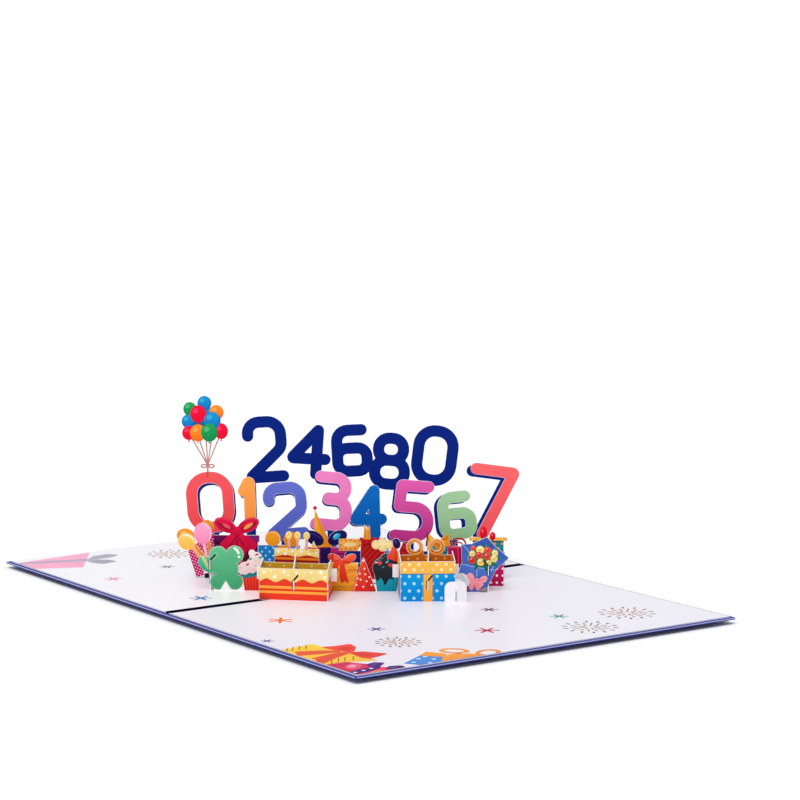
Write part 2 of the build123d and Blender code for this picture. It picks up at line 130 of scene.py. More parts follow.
def inkClouds(tree, shader, colourSocket):
    # the ink's own colour, a little lighter and darker in soft clouds
    cloud = addNode(tree, "ShaderNodeTexNoise", inputs={"Scale": 1.0, "Detail": 5.0, "Roughness": 0.65},
                    links={"Vector": objectScale(tree, paperLook["cloud"])})
    amount = paperLook["blotch"]
    shade = addNode(tree, "ShaderNodeMapRange",
                    inputs={"From Min": 0.3, "From Max": 0.7, "To Min": 1 - amount, "To Max": 1 + amount},
                    links={"Value": cloud.outputs["Fac"]})
    tone = addNode(tree, "ShaderNodeVectorMath", {"operation": "SCALE"},
                   links={"Vector": colourSocket, "Scale": shade.outputs["Result"]})
    tree.links.new(tone.outputs["Vector"], shader.inputs["Base Color"])


def offsetInk(name, roughness, sheen, coat):
    # Offset ink on coated card: clean flat colour that each print carries as an attribute,
    # with faint clouds, a soft sheen and a trace of fibre
    inputs = {"Roughness": roughness, "Specular IOR Level": sheen, "Coat Weight": coat, "Coat Roughness": 0.1}
    material, tree, shader = newMaterial(name, inputs)
    fibreBump(tree, shader, 0.2)
    colour = addNode(tree, "ShaderNodeAttribute", {"attribute_name": "ink"})
    inkClouds(tree, shader, colour.outputs["Color"])
    return material


def navyCard(name, colour):
    # Navy sheet printed on both faces: deep even blue with a soft sheen
    material, tree, shader = newMaterial(name, {"Roughness": 0.5, "Specular IOR Level": 0.08})
    fibreBump(tree, shader, 0.25)
    base = addNode(tree, "ShaderNodeRGB")
    base.outputs[0].default_value = linear(colour)
    inkClouds(tree, shader, base.outputs[0])
    return material


def plainCard(name, colour):
    # Uncoated white card as it comes from the cutter: matt, with visible fibre
    inputs = {"Roughness": 0.6, "Specular IOR Level": 0.3, "Base Color": linear(colour)}
    material, tree, shader = newMaterial(name, inputs)
    fibreBump(tree, shader, 0.5)
    return material


def coatedCard(name, colour):
    # Coated and varnished card: even colour under a clear gloss that mirrors what stands on it
    inputs = {"Roughness": 0.4, "Specular IOR Level": 0.35, "Base Color": linear(colour),
              "Coat Weight": 0.12, "Coat Roughness": 0.12}
    material, tree, shader = newMaterial(name, inputs)
    fibreBump(tree, shader, 0.06)
    return material


coverLook = {
    "halfLength": 100.0,
    "halfDepth": 150.0,
    "edgeBand": 0.02,  # what counts as the cut edge, measured inwards
    "edgeShadeTop": 0.4,  # over this height the cut edge shows bare paper; under it the edge keeps the navy as painted shade
    "ink": "#061C80",
    "cut": "#A6ABDD",
}


def laminatedCover(name):
    # Navy laminated cover: glossy blue on its faces, and pale paper where its edge is cut, with navy painted
    # as shade on the lower part of that edge
    material, tree, shader = newMaterial(name, {"Roughness": 0.4, "Specular IOR Level": 0.25})
    fibreBump(tree, shader, 0.06)
    place = addNode(tree, "ShaderNodeTexCoord")
    axes = addNode(tree, "ShaderNodeSeparateXYZ", links={"Vector": place.outputs["Object"]})
    onEdge = []
    for axis, half in (("X", coverLook["halfLength"]), ("Y", coverLook["halfDepth"])):
        size = addNode(tree, "ShaderNodeMath", {"operation": "ABSOLUTE"}, links={0: axes.outputs[axis]})
        inner = (half - coverLook["edgeBand"]) * mm
        beyond = addNode(tree, "ShaderNodeMath", {"operation": "GREATER_THAN"}, {1: inner},
                         {0: size.outputs[0]})
        onEdge.append(beyond.outputs[0])
    either = addNode(tree, "ShaderNodeMath", {"operation": "MAXIMUM"}, links={0: onEdge[0], 1: onEdge[1]})
    upper = addNode(tree, "ShaderNodeMath", {"operation": "GREATER_THAN"}, {1: coverLook["edgeShadeTop"] * mm},
                    {0: axes.outputs["Z"]})
    bare = addNode(tree, "ShaderNodeMath", {"operation": "MULTIPLY"},
                   links={0: either.outputs[0], 1: upper.outputs[0]})
    colour = addNode(tree, "ShaderNodeMix", {"data_type": "RGBA"},
                     {6: linear(coverLook["ink"]), 7: linear(coverLook["cut"])}, {0: bare.outputs[0]})
    tree.links.new(colour.outputs[2], shader.inputs["Base Color"])
    return material


sheetFinish = {
    "cover": laminatedCover("navyLaminatedCover"),
    "far_liner": coatedCard("whiteGlossCard", "#F7F6FB"),
    # the near liner is the same gloss card made a little darker and more lilac: painted shade
    "near_liner": coatedCard("paintedShadeGlossCard", "#EEECF5"),
    "back_row": navyCard("navyPrintedCard", "#00227F"),
}
cutCard = plainCard("whiteCutCard", "#F2F1F4")
for nodeName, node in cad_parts.items():
    for slotOfNode in node.material_slots:
        slotOfNode.material = sheetFinish.get(nodeName, cutCard)
sheetInk = offsetInk("offsetInkOnCard", roughness=0.5, sheen=0.06, coat=0.0)
linerInk = offsetInk("offsetInkUnderGloss", roughness=0.5, sheen=0.12, coat=0.06)
# matt dark ink for the painted shade along the fold
foldShadeInk = offsetInk("mattFoldShadeInk", roughness=0.9, sheen=0.0, coat=0.0)
print("sheets finished")


# Printed shapes. A shape is a pair: a field that gives each point's distance from the shape's
# edge, negative inside, and the box that holds it, all in mm on the sheet.
everywhere = (-1e4, 1e4, -1e4, 1e4)


def boxOf(points, margin=0.0):
    points = np.array(points, float)
    low, high = points.min(0) - margin, points.max(0) + margin
    return low[0], high[0], low[1], high[1]


def disc(x, z, radius):
    # distance from the middle, less the radius
    def field(u, v):
        return np.hypot(u - x, v - z) - radius
    return field, (x - radius, x + radius, z - radius, z + radius)


def oval(x, z, halfWidth, halfHeight, turn=0.0):
    # distance scaled by the ellipse's own gradient, close to true near its edge
    c, s = cosSin(turn)
    reach = max(halfWidth, halfHeight)

    def field(u, v):
        a = (u - x) * c + (v - z) * s
        b = (v - z) * c - (u - x) * s
        near = np.hypot(a / halfWidth, b / halfHeight)
        slope = np.hypot(a / halfWidth ** 2, b / halfHeight ** 2) + 1e-9
        return near * (near - 1) / slope
    return field, (x - reach, x + reach, z - reach, z + reach)


def block(x0, x1, z0, z1, corner=0.0):
    # distance outside a box plus the larger inside distance, with rounded corners
    def field(u, v):
        a = np.abs(u - (x0 + x1) / 2) - (x1 - x0) / 2 + corner
        b = np.abs(v - (z0 + z1) / 2) - (z1 - z0) / 2 + corner
        return np.hypot(np.maximum(a, 0), np.maximum(b, 0)) + np.minimum(np.maximum(a, b), 0) - corner
    return field, (x0, x1, z0, z1)


def straightGap(u, v, start, end):
    # distance from a point to a straight from start to end
    ex, ez = end[0] - start[0], end[1] - start[1]
    t = np.clip(((u - start[0]) * ex + (v - start[1]) * ez) / (ex * ex + ez * ez + 1e-12), 0, 1)
    return np.hypot(u - start[0] - t * ex, v - start[1] - t * ez)


def stroke(points, width):
    # distance to the nearest straight of a line, less half the width
    def field(u, v):
        nearest = np.full(np.shape(u), 1e9)
        for start, end in zip(points, points[1:]):
            nearest = np.minimum(nearest, straightGap(u, v, start, end))
        return nearest - width / 2
    return field, boxOf(points, width / 2)


def outline(*points):
    # distance to the nearest side, negative where a ray to the right crosses an odd number of sides
    def field(u, v):
        nearest = np.full(np.shape(u), 1e9)
        inner = np.zeros(np.shape(u), bool)
        for (ax, az), (bx, bz) in zip(points, points[1:] + points[:1]):
            nearest = np.minimum(nearest, straightGap(u, v, (ax, az), (bx, bz)))
            if az != bz:
                inner ^= ((az > v) != (bz > v)) & (u < (bx - ax) * (v - az) / (bz - az) + ax)
        return np.where(inner, -nearest, nearest)
    return field, boxOf(points)


def roundedLine(points, radii):
    # line through the points whose corners are arcs tangent to both sides
    points = [np.array(p, float) for p in points]
    line = [points[0]]
    for before, corner, after, radius in zip(points, points[1:], points[2:], radii):
        toBefore = (before - corner) / np.linalg.norm(before - corner)
        toAfter = (after - corner) / np.linalg.norm(after - corner)
        half = math.acos(np.clip(toBefore @ toAfter, -1, 1)) / 2
        middle = corner + (toBefore + toAfter) / np.linalg.norm(toBefore + toAfter) * radius / math.sin(half)
        start = corner + toBefore * radius / math.tan(half) - middle
        end = corner + toAfter * radius / math.tan(half) - middle
        first, last = math.atan2(start[1], start[0]), math.atan2(end[1], end[0])
        sweep = (last - first + math.pi) % (2 * math.pi) - math.pi
        turns = first + sweep * np.linspace(0, 1, 9)
        line += [middle + radius * np.array((math.cos(t), math.sin(t))) for t in turns]
    return line + [points[-1]]


def softOutline(radius, *points):
    # polygon whose corners are all rounded by one radius
    start = tuple((np.array(points[-1]) + np.array(points[0])) / 2)
    line = roundedLine([start, *points, start], [radius] * len(points))
    return outline(*[tuple(p) for p in line[:-1]])


def wave(start, end, swing, turns):
    # points along a straight, swung to both sides by a sine
    start, end = np.array(start, float), np.array(end, float)
    side = np.array((start[1] - end[1], end[0] - start[0])) / np.linalg.norm(end - start)
    return [tuple(start + (end - start) * t + side * swing * math.sin(2 * math.pi * turns * t))
            for t in np.linspace(0, 1, int(16 * turns) + 1)]


def join(*shapes):
    fields, boxes = [f for f, b in shapes], np.array([b for f, b in shapes])
    box = boxes[:, 0].min(), boxes[:, 1].max(), boxes[:, 2].min(), boxes[:, 3].max()
    return (lambda u, v: np.minimum.reduce([f(u, v) for f in fields])), box


def strokes(width, *lines):
    return join(*[stroke(line, width) for line in lines])


def within(*shapes):
    fields, boxes = [f for f, b in shapes], np.array([b for f, b in shapes])
    box = boxes[:, 0].max(), boxes[:, 1].min(), boxes[:, 2].max(), boxes[:, 3].min()
    return (lambda u, v: np.maximum.reduce([f(u, v) for f in fields])), box


def cutOut(shape, *holes):
    return (lambda u, v: np.maximum.reduce([shape[0](u, v)] + [-f(u, v) for f, b in holes])), shape[1]


def inset(shape, gap=card["cutEdge"]):
    return (lambda u, v: shape[0](u, v) + gap), shape[1]


def placed(shape, x, z, turn=0.0):
    # the shape turned about its own origin, then moved there
    c, s = cosSin(turn)
    x0, x1, z0, z1 = shape[1]
    corners = [(x + c * a - s * b, z + s * a + c * b) for a in (x0, x1) for b in (z0, z1)]

    def field(u, v):
        return shape[0]((u - x) * c + (v - z) * s, (v - z) * c - (u - x) * s)
    return field, boxOf(corners)


def mirrored(shape):
    x0, x1, z0, z1 = shape[1]
    return (lambda u, v: shape[0](-u, v)), (-x1, -x0, z0, z1)


def dots(across, up, radius, x=0.0, z=0.0):
    # distance to the nearest point of a lattice, and of the one halfway between it, less the radius
    def lattice(u, v):
        return np.hypot(np.mod(u + across / 2, across) - across / 2, np.mod(v + up / 2, up) - up / 2)

    def field(u, v):
        return np.minimum(lattice(u - x, v - z), lattice(u - x - across / 2, v - z - up / 2)) - radius
    return field, everywhere


def stripes(spacing, width, angle=0.0, offset=0.0):
    # distance across the stripes, folded to one spacing
    c, s = cosSin(angle)

    def field(u, v):
        across = v * c - u * s - offset
        return np.abs(np.mod(across + spacing / 2, spacing) - spacing / 2) - width / 2
    return field, everywhere


def above(level, swing=0.0, length=1.0, crest=0.0):
    # everything over a wavy line: level + swing * cos(2 pi (u - crest) / length)
    def field(u, v):
        return level + swing * np.cos((u - crest) * 2 * np.pi / length) - v
    return field, everywhere


def below(level, swing=0.0, length=1.0, crest=0.0):
    over = above(level, swing, length, crest)
    return (lambda u, v: -over[0](u, v)), everywhere


def spots(places, radius=None):
    # discs at the places, each with its own radius where it has one
    return join(*[disc(p[0], p[1], p[2] if len(p) > 2 else radius) for p in places])


def ring(x0, x1, z0, z1, radius, width):
    outer = block(x0 - width / 2, x1 + width / 2, z0 - width / 2, z1 + width / 2, radius + width / 2)
    hole = block(x0 + width / 2, x1 - width / 2, z0 + width / 2, z1 - width / 2, max(radius - width / 2, 0.3))
    return cutOut(outer, hole)


# For each pattern of corners inside a cell: which of its sides (bottom, right, top, left)
# the edge runs between, with the inside on its left
cellSides = {
    1: [(0, 3)], 2: [(1, 0)], 3: [(1, 3)], 4: [(2, 1)], 5: [(0, 3), (2, 1)], 6: [(2, 0)], 7: [(2, 3)],
    8: [(3, 2)], 9: [(0, 2)], 10: [(1, 0), (3, 2)], 11: [(1, 2)], 12: [(3, 1)], 13: [(0, 1)], 14: [(3, 0)],
}


def edgeOf(shape, step):
    # marching squares: points where the field changes sign along grid lines, and the straights between them
    field, (x0, x1, z0, z1) = shape
    u = np.arange(x0 - 2 * step, x1 + 2.5 * step, step)
    v = np.arange(z0 - 2 * step, z1 + 2.5 * step, step)
    gridU, gridV = np.meshgrid(u, v, indexing="ij")
    values = field(gridU, gridV) + 1e-7
    inner = values < 0
    flat = inner[:-1] != inner[1:]
    upright = inner[:, :-1] != inner[:, 1:]
    flatIds = np.where(flat, np.cumsum(flat).reshape(flat.shape) - 1, -1)
    uprightIds = np.where(upright, np.cumsum(upright).reshape(upright.shape) - 1 + flat.sum(), -1)
    shareU = (values[:-1] / (values[:-1] - values[1:] + (values[:-1] == values[1:])))[flat]
    shareV = (values[:, :-1] / (values[:, :-1] - values[:, 1:] + (values[:, :-1] == values[:, 1:])))[upright]
    onFlat = np.stack([gridU[:-1][flat] + shareU * step, gridV[:-1][flat]], 1)
    onUpright = np.stack([gridU[:, :-1][upright], gridV[:, :-1][upright] + shareV * step], 1)
    cells = inner[:-1, :-1] + 2 * inner[1:, :-1] + 4 * inner[1:, 1:] + 8 * inner[:-1, 1:]
    sides = [flatIds[:, :-1], uprightIds[1:], flatIds[:, 1:], uprightIds[:-1]]
    straights = []
    for pattern, runs in cellSides.items():
        hit = cells == pattern
        for start, end in runs:
            straights.append(np.stack([sides[start][hit], sides[end][hit]], 1))
    return np.concatenate([onFlat, onUpright]), np.concatenate(straights)


def slab(shape, plane, front, back, step):
    # the shape filled with triangles at its front, the same at its back, and walls between the two
    points, straights = edgeOf(shape, step)
    if len(points) < 3:
        return None
    filled = delaunay_2d_cdt([Vector(p) for p in points], straights.tolist(), [], 1, 1e-6)
    flatPoints = np.array([tuple(p) for p in filled[0]])
    faces = np.array([f for f in filled[2] if len(f) == 3]).reshape(-1, 3)
    middles = flatPoints[faces].mean(1)
    faces = faces[shape[0](middles[:, 0], middles[:, 1]) < 0]
    if not len(faces):
        return None
    origin, right, up, normal = (np.array(axis) for axis in plane)
    spread = origin + flatPoints[:, :1] * right + flatPoints[:, 1:] * up
    vertices = np.concatenate([spread + normal * front, spread + normal * back])
    count = len(flatPoints)
    sides = np.concatenate([faces[:, [0, 1]], faces[:, [1, 2]], faces[:, [2, 0]]])
    rim = sides[~np.isin(sides[:, 0] * count + sides[:, 1], sides[:, 1] * count + sides[:, 0])]
    walls = np.stack([rim[:, 1], rim[:, 0], rim[:, 0] + count, rim[:, 1] + count], 1)
    solid = faces.tolist() + (faces[:, ::-1] + count).tolist() + walls.tolist()
    return vertices * mm, solid, flatPoints[:, 1]


def fade(colour, heights):
    # one colour, or two that fade from the first at the head to the second at the foot
    top, low = (colour, colour) if isinstance(colour, str) else colour
    share = ((heights - heights.min()) / max(np.ptp(heights), 1e-6))[:, None]
    return np.array(linear(low)) * (1 - share) + np.array(linear(top)) * share


def link(thing):
    bpy.context.scene.collection.objects.link(thing)
    return thing


def printMotif(name, sheet, layers, level=0, step=0.16, material=sheetInk):
    # one object of several inks: each layer is a thin slab in front of the one before it
    plane, slotName = sheet
    vertices, faces, colours = [], [], []
    for shape, colour in layers:
        front = (level + 1) * card["inkStep"]
        part = slab(shape, plane, front, front - card["inkDepth"], step)
        level += 1
        if part is None:
            print("nothing to print in a layer of", name)
            continue
        faces += [[i + len(vertices) for i in face] for face in part[1]]
        vertices += part[0].tolist()
        colours.append(np.tile(fade(colour, part[2]), (2, 1)))
    mesh = bpy.data.meshes.new(name)
    mesh.from_pydata(vertices, [], faces)
    ink = mesh.color_attributes.new("ink", "FLOAT_COLOR", "POINT")
    ink.data.foreach_set("color", np.concatenate(colours).ravel())
    mesh.materials.append(material)
    piece = link(bpy.data.objects.new(name, mesh))
    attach(piece, "root")


# Each row with prints: where its printed face lies, and its colour slot
numberSheet = (rowPlane(card["numberRow"]), "number_sheet")
rearSheet = (rowPlane(card["balloonRow"]), "figure_sheet")
figureSheet = (rowPlane(card["figureRow"]), "figure_sheet")

# Numbers: drawn in their own box as pen lines, as the sheet is cut
numbers = {
    "stroke": 5.4,
    "tight": 0.4,  # radius where two straights meet
    "front": [  # left, right, foot, head, tilt, and the ink at the head and at the foot
        ("zero", -78.0, -55.8, 22.8, 51.6, 4, "#F8595F", "#EA474D"),
        ("one", -54.4, -43.2, 24.0, 50.4, 3, "#FFA650", "#FA953E"),
        ("two", -42.0, -21.6, 19.8, 47.0, 5, "#6573D0", "#5060BC"),
        ("three", -19.6, -0.6, 24.2, 51.8, -5, "#F488C8", "#E673B6"),
        ("four", -2.4, 15.2, 19.9, 45.6, 2, "#0A6CC2", "#0057AC"),
        ("five", 17.0, 37.2, 19.0, 48.0, -4, "#E660B2", "#BA3080"),
        ("six", 38.8, 56.6, 20.2, 43.0, 6, "#A8D0A3", "#8FBC8A"),
        ("seven", 52.0, 75.0, 19.8, 55.4, -7, "#FC696C", "#F0545B"),
    ],
}


def numberShape(digit, w, h):
    pen, tight = numbers["stroke"], numbers["tight"]

    def line(points, radii):
        return stroke(roundedLine(points, radii), pen)
    if digit == "zero":
        return ring(0, w, 0, h, 0.46 * w, pen)
    if digit == "one":
        return line([(0.1 * w, 0.76 * h), (0.6 * w, h), (0.5 * w, 0)], [tight])
    if digit == "two":
        points = [(0, 0.76 * h), (0, h), (w, h), (w, 0.52 * h), (0, 0), (w, 0)]
        return line(points, [0.2 * h, 0.24 * h, 0.2 * h, tight])
    if digit == "three":
        upper = [(0.04 * w, h), (0.92 * w, h), (0.92 * w, 0.56 * h), (0.35 * w, 0.56 * h)]
        lower = [(0.35 * w, 0.54 * h), (w, 0.54 * h), (w, 0), (0, 0)]
        return join(line(upper, [0.21 * h] * 2), line(lower, [0.23 * h] * 2))
    if digit == "four":
        angle = line([(0.76 * w, h), (0, 0.34 * h), (w, 0.34 * h)], [tight])
        return join(angle, stroke([(0.74 * w, 0), (0.76 * w, h)], pen))
    if digit == "five":
        points = [(0.95 * w, h), (0.12 * w, h), (0.08 * w, 0.58 * h), (w, 0.58 * h), (w, 0), (0, 0)]
        return line(points, [tight, tight, 0.27 * h, 0.27 * h])
    if digit == "six":
        stem = line([(0, 0.28 * h), (0, h), (0.85 * w, h)], [0.37 * w])
        return join(stem, ring(0, w, 0, 0.56 * h, 0.22 * h, pen))
    return line([(0, h), (w, h), (0.38 * w, 0)], [0.6])


def printNumbers():
    for digit, left, right, foot, head, tilt, colour, low in numbers["front"]:
        wide, high = right - left - numbers["stroke"], head - foot - numbers["stroke"]
        shape = placed(numberShape(digit, wide, high), -wide / 2, -high / 2)
        shape = placed(shape, (left + right) / 2, (foot + head) / 2, tilt)
        printMotif(f"{digit}Print", numberSheet, [(inset(shape), (colour, low))])


# Motifs that come back on several sheets
def balloon(x, z, wide, high, turn, colours, glint):
    body = oval(x, z, wide, high, turn)
    c, s = cosSin(turn)
    side, up = -0.32 * wide, 0.36 * high
    spot = oval(x + side * c - up * s, z + side * s + up * c, 0.34 * wide, 0.26 * high, turn + 30)
    shade = cutOut(inset(body), oval(x - 0.2 * wide, z + 0.2 * high, wide, high, turn))
    return [(inset(body), colours), (shade, colours[1]), (spot, glint)]


bowTurn = 28  # degrees that the loops of a bow rise
bows = {"purple": (-54.6, 23.6, 5.6), "bow": (-4.2, 14.6, 3.5)}  # place of the knot, and size


def bow(x, z, size):
    # the same flat bow as the sheets are cut with
    left, right = [
        oval(x + side * 0.95 * size, z + 0.5 * size, size, 0.56 * size, side * bowTurn) for side in (-1, 1)
    ]
    tails = strokes(0.7 * size, *[[(x, z), (x + side * 0.9 * size, z - 1.3 * size)] for side in (-1, 1)])
    return left, right, disc(x, z, 0.42 * size), tails


def bowLayers(x, z, size, colours, fold, inside):
    left, right, knot, tails = bow(x, z, size)
    holes, creases = [], []
    for side in (-1, 1):
        holes.append(oval(x + side * 1.08 * size, z + 0.55 * size, 0.62 * size, 0.26 * size, side * bowTurn))
        creases.append(stroke([(x, z + 0.1 * size), (x + side * 0.62 * size, z + 0.34 * size)], 0.09 * size))
        creases.append(stroke([(x, z - 0.4 * size), (x + side * 0.6 * size, z - 1.2 * size)], 0.08 * size))
    return [
        (inset(tails), colours),
        (inset(join(left, right)), colours),
        (join(*holes), inside),
        (join(*creases), fold),
        (inset(knot), colours),
    ]


# Gifts with a lid: left, right, head, height of the lid and what it stands out, then the inks of
# the box, of its lid and of the shadow under the lid
gifts = {
    "purple": ((-65.4, -44.8, 21.8, 3.2, 0.7), ("#4B0B4C", "#33083C"), ("#6A0F4E", "#520B4A"), "#21062B"),
    "magenta": ((-21.0, -4.4, 16.4, 3.0, 0.6), ("#AE1F6C", "#8A155A"), ("#C42678", "#A91D69"), "#6E1049"),
    "striped": ((2.9, 14.2, 21.0, 3.0, 0.5), ("#DC2420", "#B4161B"), ("#E02A22", "#CC1D1E"), "#7C0C18"),
    "teal": ((34.4, 43.4, 17.6, 3.0, 0.5), ("#168590", "#0F6A78"), ("#1B929A", "#158490"), "#0B5160"),
    "big": ((54.9, 69.4, 21.5, 1.8, 1.6), ("#17898F", "#0E6876"), ("#FDC352", "#F3A73A"), "#0B5160"),
    "bow": ((-10.0, 2.6, 14.6, 3.0, 0.5), ("#FCB43C", "#EE9A26"), ("#FFC552", "#FBB03C"), "#D6761A"),
    "shadow": 0.5,  # height of that shadow
}


def wrappedGift(name):
    left, right, head, lid, overhang = gifts[name][0]
    return block(left, right, deck, head), block(left - overhang, right + overhang, head - lid, head)


def giftLayers(name):
    (left, right, head, lid, _), body, top, shade = gifts[name]
    box, cover = wrappedGift(name)
    shadow = block(left, right, head - lid - gifts["shadow"], head - lid)
    return [(inset(join(box, cover)), body), (inset(cover), top), (within(inset(box), shadow), shade)]


def wavyBand(low, high, swing, length, crest=0.0):
    return within(above(low, swing, length, crest), below(high, swing, length, crest))


# Hooked slits that a crossing sheet's tongue comes through: place, foot and lean of the lead-in, and the ink
# of the painted shade laid over them
slits = {"left": (-64.3, 11.2, 2.4), "right": (62.3, 9.2, -2.2), "ink": "#33100F"}


def leadIn(x, high, lean):
    # the end of the slanted cut over a slit
    return x + lean, high + 1.5 * abs(lean) ** 0.5


def hookedSlit(x, low, lean):
    wide, high = card["sheet"] + 2 * card["slotPlay"], low + card["tongue"]
    upright = block(x - wide / 2, x + wide / 2, low, high)
    return join(upright, stroke([(x, high - 0.3), leadIn(x, high, lean)], wide))


def slitShade(x, low, lean):
    # painted shade: dark ink over the gap beside the tongue and over the lead-in
    side, high = math.copysign(1, lean), low + card["tongue"]
    beside = x - 0.48 * side
    return join(
        stroke([(x + 0.2 * side, high), leadIn(x, high, lean)], 0.7),
        stroke([(beside, low + 0.4), (beside, high - 0.1)], 0.38),
    )


leftSlit, rightSlit = hookedSlit(*slits["left"]), hookedSlit(*slits["right"])
# each figure-row slit gets a second strip of painted shade along its other side
leftShade = join(slitShade(*slits["left"]), stroke([(-63.9, 11.2), (-63.9, 15.4)], 0.3))
rightShade = join(slitShade(*slits["right"]), stroke([(61.9, 9.4), (61.9, 13.4)], 0.3))

# Bunch of balloons at the head of the number row
bunch = {
    "knot": (-67.9, 54.6),
    "string": 0.56,
    "stringInk": "#BE7F7C",
    "tail": 5.4,  # string under the knot
    "loops": {"apart": 1.7, "under": 0.4, "outside": (1.62, 1.02), "hole": (0.98, 0.42)},
    "neck": (0.55, 0.7, 0.5),  # half width of each balloon's neck, how far it hangs out and reaches in
    "strings": [(-7.4, 12.8), (-3.8, 12.0), (-0.6, 12.0), (1.8, 12.0), (5.4, 13.2)],
    "balloons": [  # right of the knot, above it, half width, half height, colour
        (-2.0, 21.6, 6.0, 6.5, "blue"),
        (-1.3, 29.0, 3.3, 3.5, "blue"),
        (-8.1, 26.3, 3.1, 3.3, "green"),
        (4.2, 24.7, 3.4, 3.6, "orange"),
        (-8.9, 20.5, 3.1, 3.3, "blue"),
        (-8.6, 15.1, 3.2, 3.4, "red"),
        (6.4, 16.0, 3.2, 3.8, "red"),
        (-4.2, 24.0, 3.8, 4.1, "red"),
        (2.3, 21.0, 3.9, 4.1, "blue"),
        (-4.4, 15.2, 3.8, 4.1, "orange"),
        (0.9, 15.4, 3.9, 4.4, "green"),
    ],
    "colours": {
        "blue": (("#1399D2", "#126EBE"), "#3CA9DC"),
        "green": (("#22A55C", "#0A8A4A"), "#4ABB70"),
        "orange": (("#FC932A", "#F66E1A"), "#FFA750"),
        "red": (("#FA0C3E", "#E40A32"), "#FB3B62"),
    },
}


def printBunch():
    x, z = bunch["knot"]
    strings = [stroke([(x + side, z + up), (x, z)], bunch["string"]) for side, up in bunch["strings"]]
    loops = bunch["loops"]
    for side in (-loops["apart"], loops["apart"]):
        middle, level = x + side, z - loops["under"]
        strings.append(cutOut(oval(middle, level, *loops["outside"]), oval(middle, level, *loops["hole"])))
    strings += [disc(x, z, 0.85), stroke([(x, z), (x, z - bunch["tail"])], 0.7)]
    layers = [(join(*strings), bunch["stringInk"])]
    for side, up, wide, high, colour in bunch["balloons"]:
        middle, foot = x + side, z + up - high
        half, out, into = bunch["neck"]
        neck = outline((middle - half, foot - out), (middle + half, foot - out), (middle, foot + into))
        layers.append((neck, bunch["colours"][colour][0][1]))
        layers += balloon(middle, z + up, wide, high, 0, *bunch["colours"][colour])
    printMotif("balloonBunchPrint", numberSheet, layers, step=0.14)


# Gifts, hats and bags along the foot of the number row
# Painted shade: a dark navy strip along the row's foot behind the figures; its height, spans and ink
rowFootShade = {"height": 7.5, "spans": [(-70, 44.5), (54.9, 69.4)], "ink": "#1A1440"}


def printRowFootShade():
    strip = join(*[block(left, right, deck, deck + rowFootShade["height"]) for left, right in rowFootShade["spans"]])
    printMotif("rowFootShadePrint", numberSheet, [(inset(strip), rowFootShade["ink"])])


def printGinghamCone():
    cone = outline((-77.5, 14.1), (-65.6, 25.6), (-64.6, 12), (-68.4, 3.6), (-73.6, 1.5))
    weave = stripes(1.2, 0.5)
    oneWay, otherWay = placed(weave, -70, 10, 67), placed(weave, -70, 10, -23)
    printMotif("ginghamConePrint", numberSheet, [
        (inset(cone), ("#B5125A", "#A50E52")),
        (within(inset(cone), oneWay), "#D32372"),
        (within(inset(cone), otherWay), "#D32372"),
        (within(inset(cone, 0.25), oneWay, otherWay), "#FAC6DD"),
    ], level=1, step=0.1)


def purpleLoop(side):
    # the fold at the head of one loop, and the lit band along its rim
    x, z, size = bows["purple"]
    turn = side * bowTurn
    middle = x + side * 5.4
    high = oval(x + side * 6.2, z + 4.7, 3.9, 1.6, turn)
    fold = within(oval(x + side * 6.0, z + 3.1, 3.5, 1.5, turn), high)
    rim = inset(oval(x + side * 5.32, z + 2.8, size, 3.14, turn), 0.5)
    under = oval(x + side * 5.1, z + 1.9, size, 3.14, turn)
    reach = block(middle - 6, middle + 6, z + 0.4, z + 7.4)
    return fold, within(rim, cutOut(reach, under))


def printPurpleGift():
    here = inset(join(*wrappedGift("purple"), *bow(*bows["purple"])))
    shadow = outline((-58.6, 21), (-63, 13), (-59.4, 2), (-49.8, 2), (-46.2, 13), (-50.6, 21))
    ribbons = join(
        outline((-55.8, 24.4), (-62.6, 17.8), (-61.8, 14.4), (-59.4, 16.0), (-57.8, 12.4), (-53.2, 22)),
        outline((-53.4, 24.4), (-44.9, 17.8), (-46.4, 14.4), (-49.2, 15.8), (-51.2, 12.0), (-56, 22)),
        outline((-56.4, 22), (-57.8, 4), (-51.4, 4), (-52.8, 22)),
    )
    sideCreases = strokes(0.5, [(-55, 22.6), (-60.6, 16.4)], [(-54.2, 22.6), (-48.6, 16.2)])
    creases = join(sideCreases, stroke([(-54.6, 21), (-54.6, 5)], 0.6))
    (leftFold, leftRim), (rightFold, rightRim) = purpleLoop(-1), purpleLoop(1)
    printMotif("purpleGiftPrint", numberSheet, giftLayers("purple") + [
        (within(here, outline((-50.5, 21.8), (-44.1, 21.8), (-44.1, 18.6), (-46.5, 18.6))), "#7C2472"),
        (within(here, shadow), ("#6E0A2C", "#2C0618")),
        (within(here, ribbons), ("#DC1044", "#B80C38")),
        (within(here, creases), "#8A0A30"),
    ] + bowLayers(*bows["purple"], ("#EE1748", "#C10B3B"), "#8A0832", "#960E3E") + [
        (rightFold, "#E8154A"),
        (leftFold, "#E8154A"),
        (oval(-49.3, 26.1, 2.5, 0.85, 32), "#F7A04C"),
        (oval(-59.3, 26.0, 2.1, 0.7, -30), "#EC5A5E"),
        (join(leftRim, rightRim), "#F5476C"),
    ], level=2)


